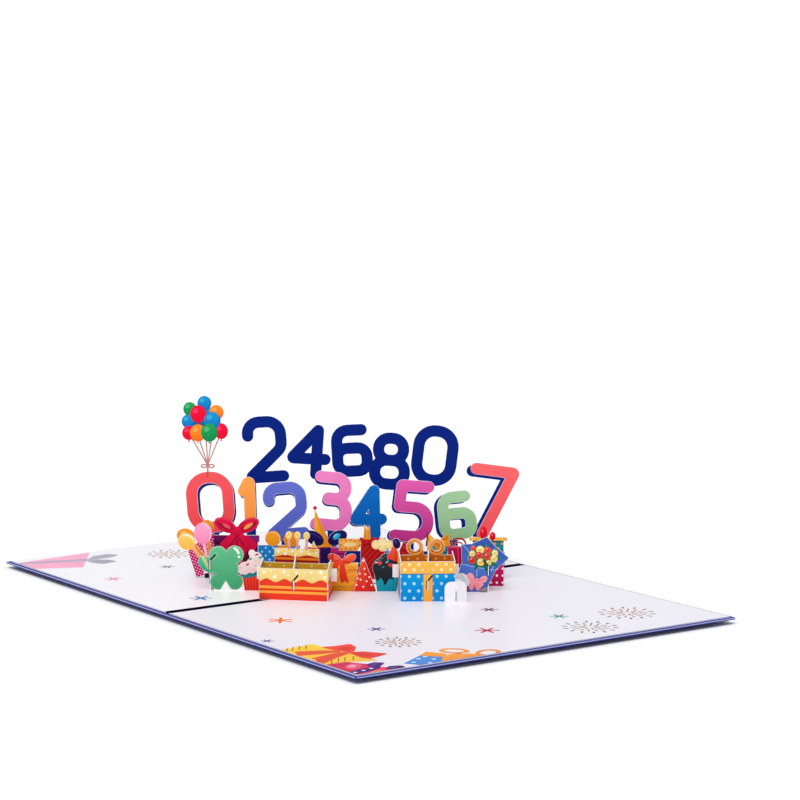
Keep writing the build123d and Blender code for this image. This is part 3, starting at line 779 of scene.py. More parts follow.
def printBlueGift():
    box, lobes = block(-44.8, -25.2, deck, 17.2), join(disc(-37.8, 20.3, 3.7), disc(-29.2, 20.0, 3.7))
    here = inset(join(box, lobes))
    printMotif("blueGiftPrint", numberSheet, [
        (inset(box), ("#1880C6", "#0C5C9C")),
        (within(inset(box, 0.4), dots(3.5, 3.7, 0.5, -41.2, 15.9)), "#9CD4F2"),
        (within(here, block(-35.8, -31.2, deck, 17.2)), ("#E48F1E", "#C26F10")),
        (inset(lobes), ("#F8A82C", "#E88F12")),
        (within(inset(lobes, 0.3), cutOut(disc(-37.8, 20.3, 3.6), disc(-38.4, 19.7, 3.5))), "#FFBE72"),
        (within(inset(lobes), block(-33.0, -25.0, 15, 25)), ("#E8951A", "#D98208")),
        (within(here, oval(-33.5, 17.2, 2.3, 2.0)), ("#F09A1C", "#E08A10")),
    ], level=2)


def printTallHat():
    hat = outline((-18.6, 14), (-18.4, 34.4), (-9.2, 14))
    printMotif("tallHatPrint", numberSheet, [
        (inset(hat, 0.0), ("#FDB339", "#F79A22")),
        (within(inset(hat), outline((-18.4, 34.6), (-8.8, 13.8), (-13.6, 13.8))), ("#F59A24", "#E8851A")),
        (inset(disc(-18.2, 34.8, 0.9), 0.0), "#D7122A"),
    ], level=1)


def printMagentaGift():
    loops = join(oval(-18.6, 20.6, 4.9, 3.2, -30), oval(-7.8, 20.8, 4.9, 3.2, 30))
    here = inset(join(*wrappedGift("magenta"), loops))
    printMotif("magentaGiftPrint", numberSheet, giftLayers("magenta") + [
        (within(here, block(-15.8, -11.0, deck, 16.8)), ("#1B104F", "#120A3C")),
        (inset(loops), ("#21155C", "#150C44")),
        (within(inset(loops, 0.5), stroke([(-21.6, 22.6), (-18.4, 22.6), (-15.6, 20.4)], 0.5)), "#3D3288"),
        (oval(-8.2, 21.5, 2.0, 1.25, 35), "#28A3D6"),
        (oval(-8.6, 21.9, 1.2, 0.55, 35), "#6FCBEA"),
        (within(here, oval(-13.3, 17.2, 1.9, 2.0)), "#2A1D69"),
    ], level=3)


def printTag():
    tag = outline((-7.5, 20.6), (2.6, 20.4), (3.6, 18.2), (1.4, 14.6), (-7.5, 14.6))
    border = [(-6.0, 19.7), (-3.9, 19.5), (-1.7, 19.8), (0.4, 19.3), (2.2, 19.5), (-6.1, 15.5),
              (-4.0, 15.8), (-1.8, 15.4), (0.3, 15.9), (2.3, 17.2), (-6.3, 17.4)]
    printMotif("tagPrint", numberSheet, [
        (inset(tag), ("#FFBC58", "#F6A03A")),
        (within(inset(tag), block(-7.6, -6.9, 14, 21)), "#6C93B4"),
        (spots(border, 0.38), "#D4462A"),
        (oval(-2.0, 17.6, 3.2, 0.95, 4), "#FFDD9A"),
    ], level=9, step=0.12)


def printStripedGift():
    crown = outline((4.2, 20), (4.6, 27), (6, 25), (7.4, 27), (7.8, 20))
    striped = within(inset(join(*wrappedGift("striped")), 0.15), stripes(1.9, 0.8, 48))
    printMotif("stripedGiftPrint", numberSheet, giftLayers("striped") + [
        (striped, ("#AE141D", "#8C0F1A")),
        (inset(crown), ("#FFB347", "#F29328")),
        (strokes(0.3, [(5.1, 21), (5.2, 24)], [(6.9, 21), (6.8, 24)]), "#D9741C"),
    ], level=1)


def printDarkHat():
    hat = inset(outline((17.4, 7), (23.2, 20.2), (28.6, 7)))
    printMotif("darkHatPrint", numberSheet, [
        (hat, ("#C0161F", "#7E0E1E")),
        (within(hat, stripes(2.6, 0.7, -20)), ("#D8322C", "#9A1824")),
    ], level=1)


def printTealGift():
    wings = outline((33, 17), (33.8, 23.6), (38.8, 19.4), (43.8, 23.6), (44.6, 17))
    box, lid = wrappedGift("teal")
    printMotif("tealGiftPrint", numberSheet, giftLayers("teal") + [
        (within(inset(box), block(37.6, 40.2, deck, 17.6)), "#E08A18"),
        (inset(wings), ("#FBAA27", "#EC8F18")),
        (within(inset(wings), stroke([(33.2, 16.6), (34.0, 23.6)], 0.9)), "#1D1647"),
        (within(inset(wings, 0.6), outline((38.8, 19.6), (43.6, 23.0), (43.4, 20.2))), "#DE7D12"),
        (within(inset(wings, 0.6), outline((38.8, 19.6), (34.8, 22.6), (35.0, 20.4))), "#FDC75A"),
        (oval(38.8, 18.9, 1.3, 1.7), "#D87A12"),
    ], level=1)


def printCrimsonBag():
    bag = block(43.4, 54.0, 8.4, 17.2)
    handles = join(ring(45.0, 51.8, 14.0, 20.8, 3.0, 0.9), ring(46.4, 50.4, 14.0, 19.0, 1.8, 0.7))
    edges = join(block(43.4, 54.0, 16.2, 17.2), stroke([(48.6, 8.4), (48.0, 17)], 0.5))
    printMotif("crimsonBagPrint", numberSheet, [
        (inset(handles, 0.06), ("#C51530", "#8E0F2C")),
        (inset(bag), ("#C1124A", "#8F0A36")),
        (within(inset(bag), edges), "#DA3C66"),
    ], level=2)


def printBigGift():
    berries = join(oval(60.0, 23.1, 1.7, 3.6), oval(64.2, 21.9, 1.5, 2.1))
    printMotif("bigGiftPrint", numberSheet, giftLayers("big") + [
        (within(block(55.1, 69.2, deck, 19.2), dots(3.4, 4.4, 0.62, 65.2, 18.4)), "#E98A66"),
        (within(block(53.6, 70.8, 19.9, 21.3), stripes(3.2, 0.5, 70)), "#F9D98E"),
        (inset(berries), ("#F4142A", "#C60C22")),
        (join(oval(59.5, 24.4, 0.4, 0.9, 15), oval(63.8, 22.6, 0.35, 0.6, 15)), "#FF6F70"),
    ], level=1)


# Two balloons behind the figure row, and the dotted bag behind the bouquet
def printRearBalloons():
    sticks = strokes(1.3, [(-74.6, 22), (-65.4, 10.5)], [(-67.0, 26), (-65.0, 11)])
    foot = outline((-66.2, deck), (-66.2, 12.4), (-63.0, 12.4), (-59.8, deck))
    printMotif("rearBalloonPrint", rearSheet, [
        # the rear sheet's foot takes the same painted shade
        (cutOut(inset(foot), block(-64.6, -64.0, 0, 7.4)), rowFootShade["ink"]),
        (sticks, ("#F9962A", "#E9741C")),
        *balloon(-76.9, 24.0, 4.2, 3.5, -10, ("#FF9E22", "#EE7E12"), "#FFBE5C"),
        *balloon(-67.0, 28.2, 3.1, 3.4, 0, ("#F79A1E", "#DC7C10"), "#FFBE5C"),
    ])


def printDottedBag():
    bag = join(block(60.2, 69.4, deck, 11.6), outline((61.4, 11.5), (62.4, 12.6), (67.2, 12.6), (68.2, 11.5)))
    across, up = 2.7, 3.3  # spacing of the dots
    pale = [(60.8 + across * i, 3.0 + up * j) for i in range(4) for j in range(3)]
    dark = [(x + across / 2, z + up / 2) for x, z in pale]
    printMotif("dottedBagPrint", rearSheet, [
        (cutOut(inset(bag), block(62.0, 62.6, 0, 7.4)), ("#CE1355", "#B30E4C")),
        (within(inset(bag, 0.2), spots(pale, 0.55)), "#FDF1F6"),
        (within(inset(bag, 0.2), spots(dark, 0.5)), "#7E3A55"),
    ])


# Figure row, from left to right
def printStickBalloons():
    yellow, pink = oval(-74.9, 23.9, 4.1, 3.8, -35), oval(-67.5, 27.7, 4.1, 4.9)
    leaf = softOutline(0.9, (-68.9, 17.2), (-70.0, 14.4), (-68.2, 11.4), (-64.4, 9.0), (-65.6, 17.2))
    rib = stroke([(-67.8, 17.2), (-66.8, 14.9), (-65.4, 11.6)], 0.95)
    vein = stroke([(-66.6, 17.0), (-65.9, 14.6), (-65.2, 12.6)], 0.25)
    printMotif("stickBalloonPrint", figureSheet, [
        (cutOut(stroke([(-73.0, 22.0), (-64.9, 10.9)], 1.0), leftSlit), ("#FBAA3E", "#EE7D22")),
        (cutOut(stroke([(-67.2, 24), (-65.0, 10.8)], 1.0), leftSlit), ("#F7A9CC", "#F39A5A")),
        (inset(yellow), ("#FFD069", "#F7B546")),
        (within(inset(yellow, 0.5), cutOut(above(23), oval(-75.3, 22.7, 4.0, 3.7, -35))), "#FFF1C4"),
        (inset(pink), ("#FBA6C8", "#F488B2")),
        (within(inset(pink, 0.45), cutOut(above(20), oval(-68.3, 27.3, 4.1, 4.9))), "#FDCFE6"),
        (inset(leaf), ("#4CC49C", "#239C77")),
        (within(inset(leaf), outline((-66.9, 18), (-64.9, 9), (-63, 9), (-63, 18))), ("#7FA893", "#3E9A78")),
        (within(inset(leaf), rib), ("#E8D873", "#8FB868")),
        (within(inset(leaf), vein), "#D4DED6"),
    ], step=0.12)


def printClover():
    lobes = [(-60.6, 17.7, 4.2), (-53.1, 17.9, 4.2), (-60.6, 5.5, 3.8), (-53.1, 5.5, 3.8)]
    arms = [block(-65.6, -60, 9.4, 17.2), block(-65, -60, 9.6, 11.2)]
    legs = outline((-57.2, 6.0), (-60.4, 0.8), (-54.2, 0.8))
    body = cutOut(inset(join(oval(-56.8, 11.5, 5.6, 6.8), spots(lobes), *arms)), legs, leftSlit)
    glint = stroke([(-53.0, 20.9), (-51.9, 20.0), (-51.3, 18.8)], 1.15)
    printMotif("cloverPrint", figureSheet, [
        (body, ("#63C08D", "#3D9C6B")),
        (cutOut(inset(body, 0.35), inset(body, 0.62)), ("#8FD6AE", "#55AE7E")),
        (strokes(0.3, [(-57.0, 19.0), (-56.9, 17.2)], [(-57.2, 6.2), (-57.0, 7.6)]), "#3F9A6C"),
        (join(glint, disc(-51.1, 17.0, 0.62)), "#F6FCF7"),
        (leftShade, slits["ink"]),
    ], level=3, step=0.13)


# Cupcakes: middle, width and height of their paper cups, which narrow to the foot
cups = {"pale": (-45.0, 9.6, 8.0), "dark": (16.2, 11.6, 8.6), "footShare": 0.78, "flute": 0.35}


def cupShape(x, width, height):
    half, foot = width / 2, cups["footShare"] * width / 2
    rim = deck + height
    return outline((x - foot, deck), (x + foot, deck), (x + half, rim), (x - half, rim))


def flutes(x, width, height, count):
    # creases that spread from the foot of a paper cup to its rim
    shares = [(2 * i + 1) / count - 1 for i in range(count)]
    half, foot = width / 2, cups["footShare"] * width / 2
    return strokes(cups["flute"], *[[(x + foot * t, deck), (x + half * t, deck + height)] for t in shares])


def sprinkles(places, length, width):
    lines = []
    for x, z, turn in places:
        c, s = cosSin(turn)
        lines.append([(x, z), (x + length * c, z + length * s)])
    return strokes(width, *lines)


def printPaleCupcake():
    cup = cupShape(*cups["pale"])
    frosting = spots([(-48.2, 11.3, 3.4), (-43.8, 12.7, 4.4), (-43.4, 16.3, 3.0), (-45.2, 18.7, 1.6)])
    ripples = join(stroke([(-50.4, 11.0), (-48.2, 10.6), (-45.6, 11.6), (-43.0, 11.6)], 0.5),
                   stroke([(-49.2, 13.2), (-46.6, 14.4)], 0.3))
    band = placed(wavyBand(-2.0, 0.4, 0.25, 2.6), -46.4, 9.5, 12)
    top = placed(above(-0.1, 0.3, 3.4), -46.4, 9.5, 12)
    printMotif("paleCupcakePrint", figureSheet, [
        (inset(cup), ("#F04433", "#D22F26")),
        (within(inset(cup, 0.2), flutes(*cups["pale"], 6)), "#B5241F"),
        (within(inset(join(cup, frosting)), band), "#1D7E88"),
        (within(inset(frosting), top), ("#F2E9EA", "#E4D0D6")),
        (within(inset(frosting, 0.3), ripples), "#F3C9D0"),
        (sprinkles([(-46.3, 15.9, 20), (-41.7, 16.5, 30)], 0.9, 0.7), "#1E8C92"),
        (sprinkles([(-43.4, 17.9, 25), (-47.6, 13.2, 30)], 0.9, 0.7), "#C81E50"),
        (sprinkles([(-50.6, 11.8, 40), (-43.8, 13.0, 10)], 0.5, 0.5), "#EE9AB4"),
        (sprinkles([(-43.8, 15.4, 0), (-44.6, 10.9, 20)], 0.5, 0.5), "#F2CC66"),
    ], step=0.12)


def printBowGift():
    box, lid = wrappedGift("bow")
    left, right, knot, cutTails = bow(*bows["bow"])
    here = inset(join(box, lid, left, right, knot, cutTails))
    broad = join(*[wavyBand(level, level + 0.45, 0.55, 5.2, 0.6) for level in (11.6, 9.8, 8.0)])
    narrow = join(*[wavyBand(level, level + 0.28, 0.5, 5.2, 0.6) for level in (10.7, 7.1, 5.9)])
    tails = join(
        outline((-5.4, 14.4), (-8.4, 14.0), (-8.2, 11.4), (-6.3, 11.4)),
        outline((-5.0, 14.6), (-5.4, 8.4), (-4.4, 4.8), (-3.0, 6.4), (-1.0, 4.9), (-3.2, 13.8)),
    )
    # the first line is painted shade in the gap beside the cake box's wall; the others are folds of the bow
    creases = join(stroke([(-8.3, 18.8), (-8.5, 15.2)], 0.4),
                   strokes(0.3, [(-3.8, 15.1), (1.6, 14.9)], [(-5.0, 16.2), (-7.6, 15.0)]))
    glints = join(stroke([(-2.9, 16.3), (-0.4, 17.8)], 0.4), stroke([(-7.2, 16.9), (-5.8, 16.0)], 0.35))
    printMotif("bowGiftPrint", figureSheet, giftLayers("bow") + [
        (within(inset(box), below(4.6, 0.4, 3.2)), ("#E29A22", "#D3830F")),
        (within(inset(box, 0.2), wavyBand(3.2, 3.5, 0.35, 3.2, 1.2)), "#9C7A34"),
        (within(inset(box, 0.2), broad), "#F4882A"),
        (within(inset(box, 0.2), narrow), "#C7812C"),
        (within(inset(lid, 0.2), wavyBand(12.6, 13.1, 0.35, 2.6)), "#F5962F"),
        (within(here, tails), ("#F0452C", "#CF2A20")),
        (within(here, tails, dots(1.3, 1.3, 0.17)), "#B11C1A"),
        (within(here, join(left, right, knot)), ("#FB6240", "#E63C28")),
        (within(here, outline((-12, 20), (-8.7, 20), (-8.5, 15.4), (-12, 13.4))), ("#EE4A30", "#D9331F")),
        (creases, "#A3271B"),
        (glints, "#FF8A66"),
    ], step=0.12)


def printConeHat():
    hat = softOutline(0.4, (0.0, deck), (5.5, 17.7), (11.5, deck))
    pompoms = [(5.5, 15.6, 0.55), (6.0, 11.9), (6.4, 9.3), (4.2, 6.8), (7.0, 6.1), (2.4, 4.4), (9.2, 4.4),
               (5.5, 3.5), (3.9, 9.6), (2.9, 7.4), (8.2, 8.0)]
    printMotif("coneHatPrint", figureSheet, [
        (inset(hat), ("#F24C34", "#D62A22")),
        (within(inset(hat), outline((5.5, 18.6), (11.8, 1.0), (7.6, 1.0))), ("#E23A2B", "#C2231E")),
        (within(inset(hat, 0.3), outline((5.4, 18), (-0.6, 1), (1.4, 1))), "#F77A62"),
        (within(inset(hat, 0.15), spots(pompoms, 0.42)), "#FFEDE6"),
    ], level=10, step=0.12)


def heart(x, z):
    lobes = [disc(x + side, z + 0.25, 0.62) for side in (-0.5, 0.5)]
    return join(*lobes, outline((x - 1.1, z + 0.1), (x + 1.1, z + 0.1), (x, z - 1.1)))


def printDarkCupcake():
    cup = cupShape(*cups["dark"])
    frosting = spots([(14.2, 12.3, 4.6), (18.4, 12.3, 4.6), (16.6, 14.9, 4.2)])
    drips = softOutline(0.3, (10.0, 12), (10.3, 9.0), (10.7, 7.2), (12.2, 6.2), (13.2, 7.9), (14.1, 6.9),
                        (15.3, 4.0), (16.7, 6.2), (17.6, 7.6), (18.8, 6.6), (19.4, 8.8), (22, 12))
    cloud = spots([(11.3, 22.9, 2.1), (14.2, 23.7, 2.3), (17.1, 23.0, 2.1), (14.2, 21.7, 1.9)])
    hat = softOutline(0.4, (15.8, 16.8), (20.0, 24.2), (22.2, 14.4))
    shine = stroke(wave((11.0, 14.6), (15.2, 17.8), -0.5, 0.5), 0.45)
    printMotif("darkCupcakePrint", figureSheet, [
        (inset(cup), ("#23ABBA", "#128FA2")),
        (within(inset(cup, 0.2), flutes(*cups["dark"], 7)), "#0C7588"),
        (within(inset(join(cup, frosting)), join(frosting, drips)), ("#2E363D", "#1C2228")),
        (within(inset(frosting, 0.4), shine), "#4C5963"),
        (join(heart(12.9, 14.4), heart(17.8, 13.5)), ("#EE4A44", "#DE3838")),
        (sprinkles([(12.0, 16.2, -40), (14.2, 12.5, 30), (19.9, 13.1, -10)], 0.8, 0.5), "#3F9C9E"),
        (sprinkles([(11.0, 14.6, 20), (16.0, 14.8, 40)], 0.7, 0.5), "#EFE7E4"),
        (sprinkles([(13.4, 16.8, 20), (16.6, 17.6, 10)], 0.5, 0.4), "#8C93A0"),
        (stroke([(16.4, 21.5), (16.8, 15.2)], 0.8), ("#4FA3D6", "#2C7CB8")),
        (inset(cloud), ("#FCEBB4", "#F5D58C")),
        (cutOut(inset(cloud, 0.35), inset(cloud, 0.6)), "#E9BE6C"),
        (inset(hat), ("#F75F3F", "#E03C29")),
        (within(inset(hat), outline((20.0, 24.6), (22.6, 14.0), (19.6, 15.2))), ("#E64A31", "#C92F22")),
        (inset(oval(20.6, 23.6, 1.8, 2.5, 15)), ("#241A5E", "#140D42")),
        (oval(20.2, 24.4, 0.4, 0.8, 15), "#473C8C"),
    ], level=1, step=0.12)


bouquet = {
    "wrap": [(49.9, 23.4), (54.6, 23.6), (61.6, 26.8), (65.9, 22.0), (71.7, 17.2), (66.0, 11.8), (62.2, 4.4),
             (61.8, deck), (52.0, deck), (52.2, 5.0), (49.0, 11.2), (50.2, 15.3)],
    "panels": [  # the wrap's folded faces, with their inks
        ([(54.6, 23.7), (61.6, 27.0), (66.2, 22.2), (60.0, 20.6)], ("#3A5FB4", "#31529F")),
        ([(65.8, 22.4), (71.9, 17.2), (65.8, 11.4), (65.0, 18.4)], ("#3357AA", "#4A70C2")),
        ([(49.6, 23.6), (54.6, 23.7), (53.0, 14.0), (50.0, 14.6)], ("#3D62B6", "#4C72C6")),
        ([(48.4, 11.0), (50.4, 14.4), (57.0, 12.8), (66.0, 11.6), (61.9, 4.2), (51.9, 4.8)],
         ("#5478CC", "#3D61B4")),
    ],
    "blooms": [  # place and radius of each, then the inks of blooms, petals and glints
        ([(58.5, 20.9, 1.8), (65.2, 19.5, 1.4), (54.9, 19.1, 1.4), (64.8, 16.8, 1.6), (58.8, 15.2, 1.7),
          (62.4, 14.9, 1.3)], ("#FBEEA0", "#EFCF6A"), "#D9A945", "#FFF9D8"),
        ([(55.4, 21.6, 1.2), (61.9, 20.7, 1.6), (58.0, 18.4, 1.6), (61.7, 17.9, 1.6), (54.9, 16.0, 1.6)],
         ("#F6574A", "#DD3530"), "#B3241F", "#FF9A88"),
    ],
}


def bloomLayers(here):
    layers = []
    for places, colours, petal, glint in bouquet["blooms"]:
        petals, glints = [], []
        for x, z, r in places:
            curve = [(x - 0.4 * r, z + 0.1 * r), (x, z - 0.35 * r), (x + 0.45 * r, z + 0.2 * r)]
            petals.append(stroke(curve, 0.2 * r))
            glints.append((x - 0.3 * r, z + 0.45 * r, 0.25 * r))
        layers += [(within(here, spots(places)), colours), (join(*petals), petal), (spots(glints), glint)]
    return layers


def printBouquet():
    wrap = outline(*bouquet["wrap"])
    here = inset(cutOut(wrap, rightSlit))
    panels = [(within(here, outline(*points)), colours) for points, colours in bouquet["panels"]]
    edges = join(
        strokes(0.3, [(50.4, 23.2), (53.2, 20.6), (53.0, 14.2)], [(66.0, 20.8), (66.6, 17.0), (63.4, 11.0)]),
        strokes(0.34, [(50.5, 14.2), (57.0, 12.7), (65.4, 11.6)], [(57.0, 12.7), (57.1, 8.6)]),
    )
    leaves = join(oval(60.0, 17.4, 6.0, 4.6), *[
        oval(60 + 6.2 * math.cos(a), 17.2 + 4.6 * math.sin(a), 1.7, 0.75, math.degrees(a))
        for a in np.arange(0, 6.2, 0.7)
    ])
    ribbon = join(oval(54.4, 8.3, 2.2, 1.5, -62), oval(60.0, 7.2, 2.1, 1.5, 38), oval(57.2, 6.3, 1.7, 1.5),
                  outline((54.0, 7.0), (53.4, 3.2), (54.8, 2.0), (56.2, 4.0), (57.2, 6.2)),
                  outline((56.4, 6.0), (56.6, 2.8), (57.8, 1.9), (58.8, 3.4), (60.4, 5.0), (58.6, 6.4)))
    fern = outline((48.6, 9.6), (50.6, 10.2), (53.0, 9.0), (54.2, 6.0), (53.0, 3.9), (50.2, 5.8))
    creases = join(strokes(0.24, [(57.0, 6.6), (55.0, 8.4)], [(57.6, 6.6), (60.4, 7.6)]),
                   strokes(0.22, [(56.4, 5.6), (55.2, 3.2)], [(57.4, 5.4), (57.8, 3.0)]))
    glints = strokes(0.3, [(54.2, 9.3), (55.4, 7.6)], [(59.0, 7.9), (60.9, 8.2)])
    printMotif("bouquetPrint", figureSheet, [
        (here, ("#5379CC", "#4166B8")),
        *panels,
        (within(here, edges), "#9FB7EC"),
        (within(here, leaves), ("#2A8A5A", "#17694A")),
        *bloomLayers(here),
        (within(here, block(51.6, 53.2, 0, 4.6)), ("#C4164E", "#A30D42")),
        (within(here, oval(60.2, 2.2, 2.1, 1.2, 20)), ("#9C8E92", "#77696E")),
        (within(inset(wrap), fern), ("#F5F1F2", "#E8E2E5")),
        (within(inset(wrap), inset(fern, 0.2), placed(stripes(0.75, 0.2), 51, 7, -58)), "#C8C0C5"),
        (within(here, ribbon), ("#F8A6B0", "#F08C98")),
        (within(inset(ribbon, 0.3), dots(1.1, 1.1, 0.14)), "#E17684"),
        (creases, "#D9697A"),
        (within(inset(ribbon, 0.25), glints), "#FFC9CD"),
        (rightShade, slits["ink"]),
    ], step=0.12)


# Boxes: the fronts and sides carry one pattern, the insides another
boxes = {
    "cake": {
        "width": 31.6,
        "depth": 15.0,
        "height": 14.4,
        "front": -45.5,  # heading of the front, then of the sides
        "side": 51.5,
        "cross": (-24.8, -31.7),  # where the crossing sheet meets the front, along and across the rows
        "slit": 6.2,  # foot of the front's hooked slit
    },
    "gift": {
        "width": 24.5,
        "depth": 16.2,
        "height": 18.2,
        "front": -33.5,
        "side": 58.0,
        "cross": (35.3, -32.2),
        "slit": 6.6,
    },
}
tabs = {
    "share": 0.44,  # of the box's height under the back's side tabs
    "height": 5.9,
    "lean": 2.0,
    "foldRoom": 0.6,  # bare paper inside each folded corner
    "crossSlot": (0.35, 6.1),  # half width and height of what a crossing sheet's slot takes from the print
}
pastSide, pastRim = 60, 99  # mm, beyond any wall


def boxCorner(box):
    # the front is centred on its crossing sheet
    place, offset = box["cross"]
    return alongRows * place + acrossRows * offset - direction(box["front"]) * (box["width"] / 2)


def crossingWidth(box, thick):
    # how much of a wall a sheet of this thickness takes that meets it at the box's corner angle
    turn = math.radians(box["side"] - box["front"])
    return thick / math.sin(turn) + card["sheet"] * abs(1 / math.tan(turn))


def sideWall(box, start):
    # outline of a side wall, which runs back to the figure row
    reach = card["figureRow"] - card["sheet"] - start.dot(acrossRows)
    run = reach / direction(box["side"]).dot(acrossRows)
    rim = deck + box["height"]
    wall = outline((0, deck), (run, deck), (run, rim - 1.5), (box["depth"] + 1, rim + 1.6), (0, rim))
    half = crossingWidth(box, card["sheet"] + 2 * card["slotPlay"]) / 2
    middle = box["depth"] + card["sheet"] / 2
    low = deck + tabs["share"] * box["height"]
    tab = block(middle - half, middle + half, low - card["slotPlay"], low + tabs["height"] + card["slotPlay"])
    return cutOut(wall, tab)


def shifted(plane, gap):
    # the plane moved by the gap the way that it looks
    origin, right, up, normal = plane
    return origin + normal * gap, right, up, normal


def turned(plane):
    # the same plane seen from behind
    origin, right, up, normal = plane
    return origin, -right, up, -normal


def printBox(name, outside, inside, slotName):
    # prints both faces of the front and of the two sides
    box = boxes[name]
    corner, wide, thick = boxCorner(box), box["width"], card["sheet"]
    slit = (wide / 2, box["slit"], tabs["lean"])
    front = cutOut(block(0, wide, deck, deck + box["height"]), hookedSlit(*slit))
    plane = wallPlane(corner, box["front"])
    # the front's slit gets the same painted shade
    layers = outside(front) + [(slitShade(*slit), slits["ink"])]
    printMotif(f"{name}FrontPrint", (plane, slotName), layers, step=0.13)
    back = turned(shifted(plane, -thick))
    inner = within(mirrored(front), block(-wide + tabs["foldRoom"], -tabs["foldRoom"], 0, pastRim))
    printMotif(f"{name}FrontInsidePrint", (back, slotName), inside(inner))
    for index, start in enumerate((corner, corner + direction(box["front"]) * wide)):
        wall = sideWall(box, start)
        room = within(wall, block(tabs["foldRoom"], pastSide, 0, pastRim))
        plane = wallPlane(start, box["side"])
        if index:
            # the right side's inner face lies one thickness in from the line through its corner
            outer, inner = plane, turned(shifted(plane, -thick))
            shown, hidden = wall, mirrored(room)
        else:
            outer, inner = turned(plane), shifted(plane, thick)
            shown, hidden = mirrored(wall), room
        printMotif(f"{name}Side{index}Print", (outer, slotName), outside(shown))
        printMotif(f"{name}Side{index}InsidePrint", (inner, slotName), inside(hidden))


cakePrint = {
    "drops": [(2.3, 13.9, 0.7), (5.7, 14.6, 0.35), (7.2, 11.9, 0.8), (11.6, 14.2, 0.65), (13.5, 12.8, 0.45),
              (17.2, 14.0, 0.6), (20.8, 14.1, 0.35), (24.0, 14.4, 0.55), (25.0, 11.6, 0.4), (28.3, 14.5, 0.8),
              (30.2, 12.3, 0.55), (20.4, 12.2, 0.3)],
    "golden": ("#FFB24A", "#FC9A36"),
    "layers": [(6.5, 7.7), (4.3, 5.5)],  # foot and head of the golden layers
    "shade": (5.6, 6.4),
    "cream": 10.2,  # height of the cream's edge
    "scallop": (0.75, 8.3, 3.5),  # its swing, length and first crest
}


def cakeOutside(shape):
    # cream with white drops over a red cake with two golden layers
    here, cream, scallop = inset(shape), cakePrint["cream"], cakePrint["scallop"]
    drops = cakePrint["drops"] + [(-x, z, r) for x, z, r in cakePrint["drops"]]
    spans = [within(here, block(-pastSide, pastSide, *span)) for span in cakePrint["layers"]]
    return [
        (here, ("#E8432C", "#E43A24")),
        *[(span, cakePrint["golden"]) for span in spans],
        (within(here, block(-pastSide, pastSide, *cakePrint["shade"])), "#E23A20"),
        (within(here, above(cream, *scallop)), ("#F6DD90", "#EECF78")),
        (within(here, wavyBand(cream, cream + 0.25, *scallop)), "#E9BF62"),
        (within(here, spots(drops)), "#FFFBEA"),
    ]


def cakeInside(shape):
    return [
        (inset(shape), ("#D3A32B", "#B8860F")),
        (within(inset(shape, 0.4), dots(6.4, 4.4, 0.5, 3.5, 14.2)), "#EBD493"),
    ]


giftPrint = {
    "ribbon": 2.15,  # half its width
    "line": 0.25,  # dark lines at the ribbon's edges and under the lid
    "lid": 14.0,  # height of the lid's foot
}


def giftOutside(shape):
    # blue with pale dots under an orange lid, an orange ribbon down its middle
    here, half, line, foot = inset(shape), giftPrint["ribbon"], giftPrint["line"], giftPrint["lid"]
    middle = boxes["gift"]["width"] / 2
    sides = (middle, -middle)
    ribbon = join(*[block(x - half, x + half, 0, pastRim) for x in sides])
    edges = [block(x - half, x - half + line, 0, foot) for x in sides]
    edges += [block(x + half - line, x + half, 0, foot) for x in sides]
    lid = block(-pastSide, pastSide, foot, pastRim)
    return [
        (here, ("#0E9CE0", "#0785CC")),
        (within(cutOut(here, ribbon), below(13.6), dots(4.1, 6.6, 0.72, 4.0, 12.8)), "#A9DCFA"),
        (within(here, join(lid, ribbon)), ("#F8BC54", "#F2A438")),
        (within(cutOut(here, ribbon), lid, dots(4.1, 4.8, 0.72, 4.0, 18.2)), "#FFE9B4"),
        (within(here, block(-pastSide, pastSide, foot - line, foot)), "#0B6DB4"),
        (within(here, join(*edges)), "#E08A20"),
    ]


def giftInside(shape):
    return [
        (inset(shape), ("#CF6C14", "#A84C08")),
        (within(inset(shape, 0.4), dots(4.1, 4.8, 0.62, 4.5, 17.8)), "#E9A468"),
    ]


def backStart(box):
    return boxCorner(box) + direction(box["side"]) * box["depth"]


def insideBack(box):
    # the back between the sides, less the slot at its foot where the crossing sheet passes through
    start = backStart(box)
    at = (box["cross"][0] - start.dot(alongRows)) / direction(box["front"]).dot(alongRows)
    half, tall = tabs["crossSlot"]
    slot = block(at - half, at + half, 0, deck + tall)
    reveal = crossingWidth(box, card["sheet"]) + card["slotPlay"]
    return cutOut(block(reveal, box["width"] - reveal, deck, deck + box["height"]), slot)


upperCake = {
    "half": 10.3,
    "height": 6.4,
    "golden": (1.2, 2.3),  # foot and head of its bands, from the lower cake's rim
    "red": (2.3, 3.6),
    "cream": 3.1,
    "scallop": (0.42, 10.2),  # swing and length of the cream's edge
    "candles": (-3.6, 0.4, 4.6),
    "candle": (4.0, 0.9),  # height and width
    "crumbs": [(7.5, 1.7, 0.3), (8.2, 2.4, 0.25), (8.6, 1.4, 0.28)],  # from the middle and the top
    "drops": [(7.4, 20.6, 0.6), (10.6, 19.7, 0.7), (13.8, 20.8, 0.5), (18.0, 20.9, 0.6), (21.6, 19.9, 0.5),
              (24.8, 20.8, 0.6), (16.2, 19.6, 0.35)],
}


def flame(x, foot):
    # a pale halo, a golden diamond and a bright one inside it
    golden = outline((x - 1.05, foot + 1.7), (x, foot + 0.4), (x + 1.05, foot + 1.7), (x, foot + 3.3))
    bright = outline((x - 0.6, foot + 1.6), (x, foot + 0.8), (x + 0.6, foot + 1.6), (x, foot + 2.5))
    return [
        (inset(oval(x, foot + 2.0, 1.5, 1.9)), ("#FBE09A", "#F5CE7C")),
        (golden, ("#F6B84A", "#F0A03C")),
        (bright, "#FFE994"),
    ]


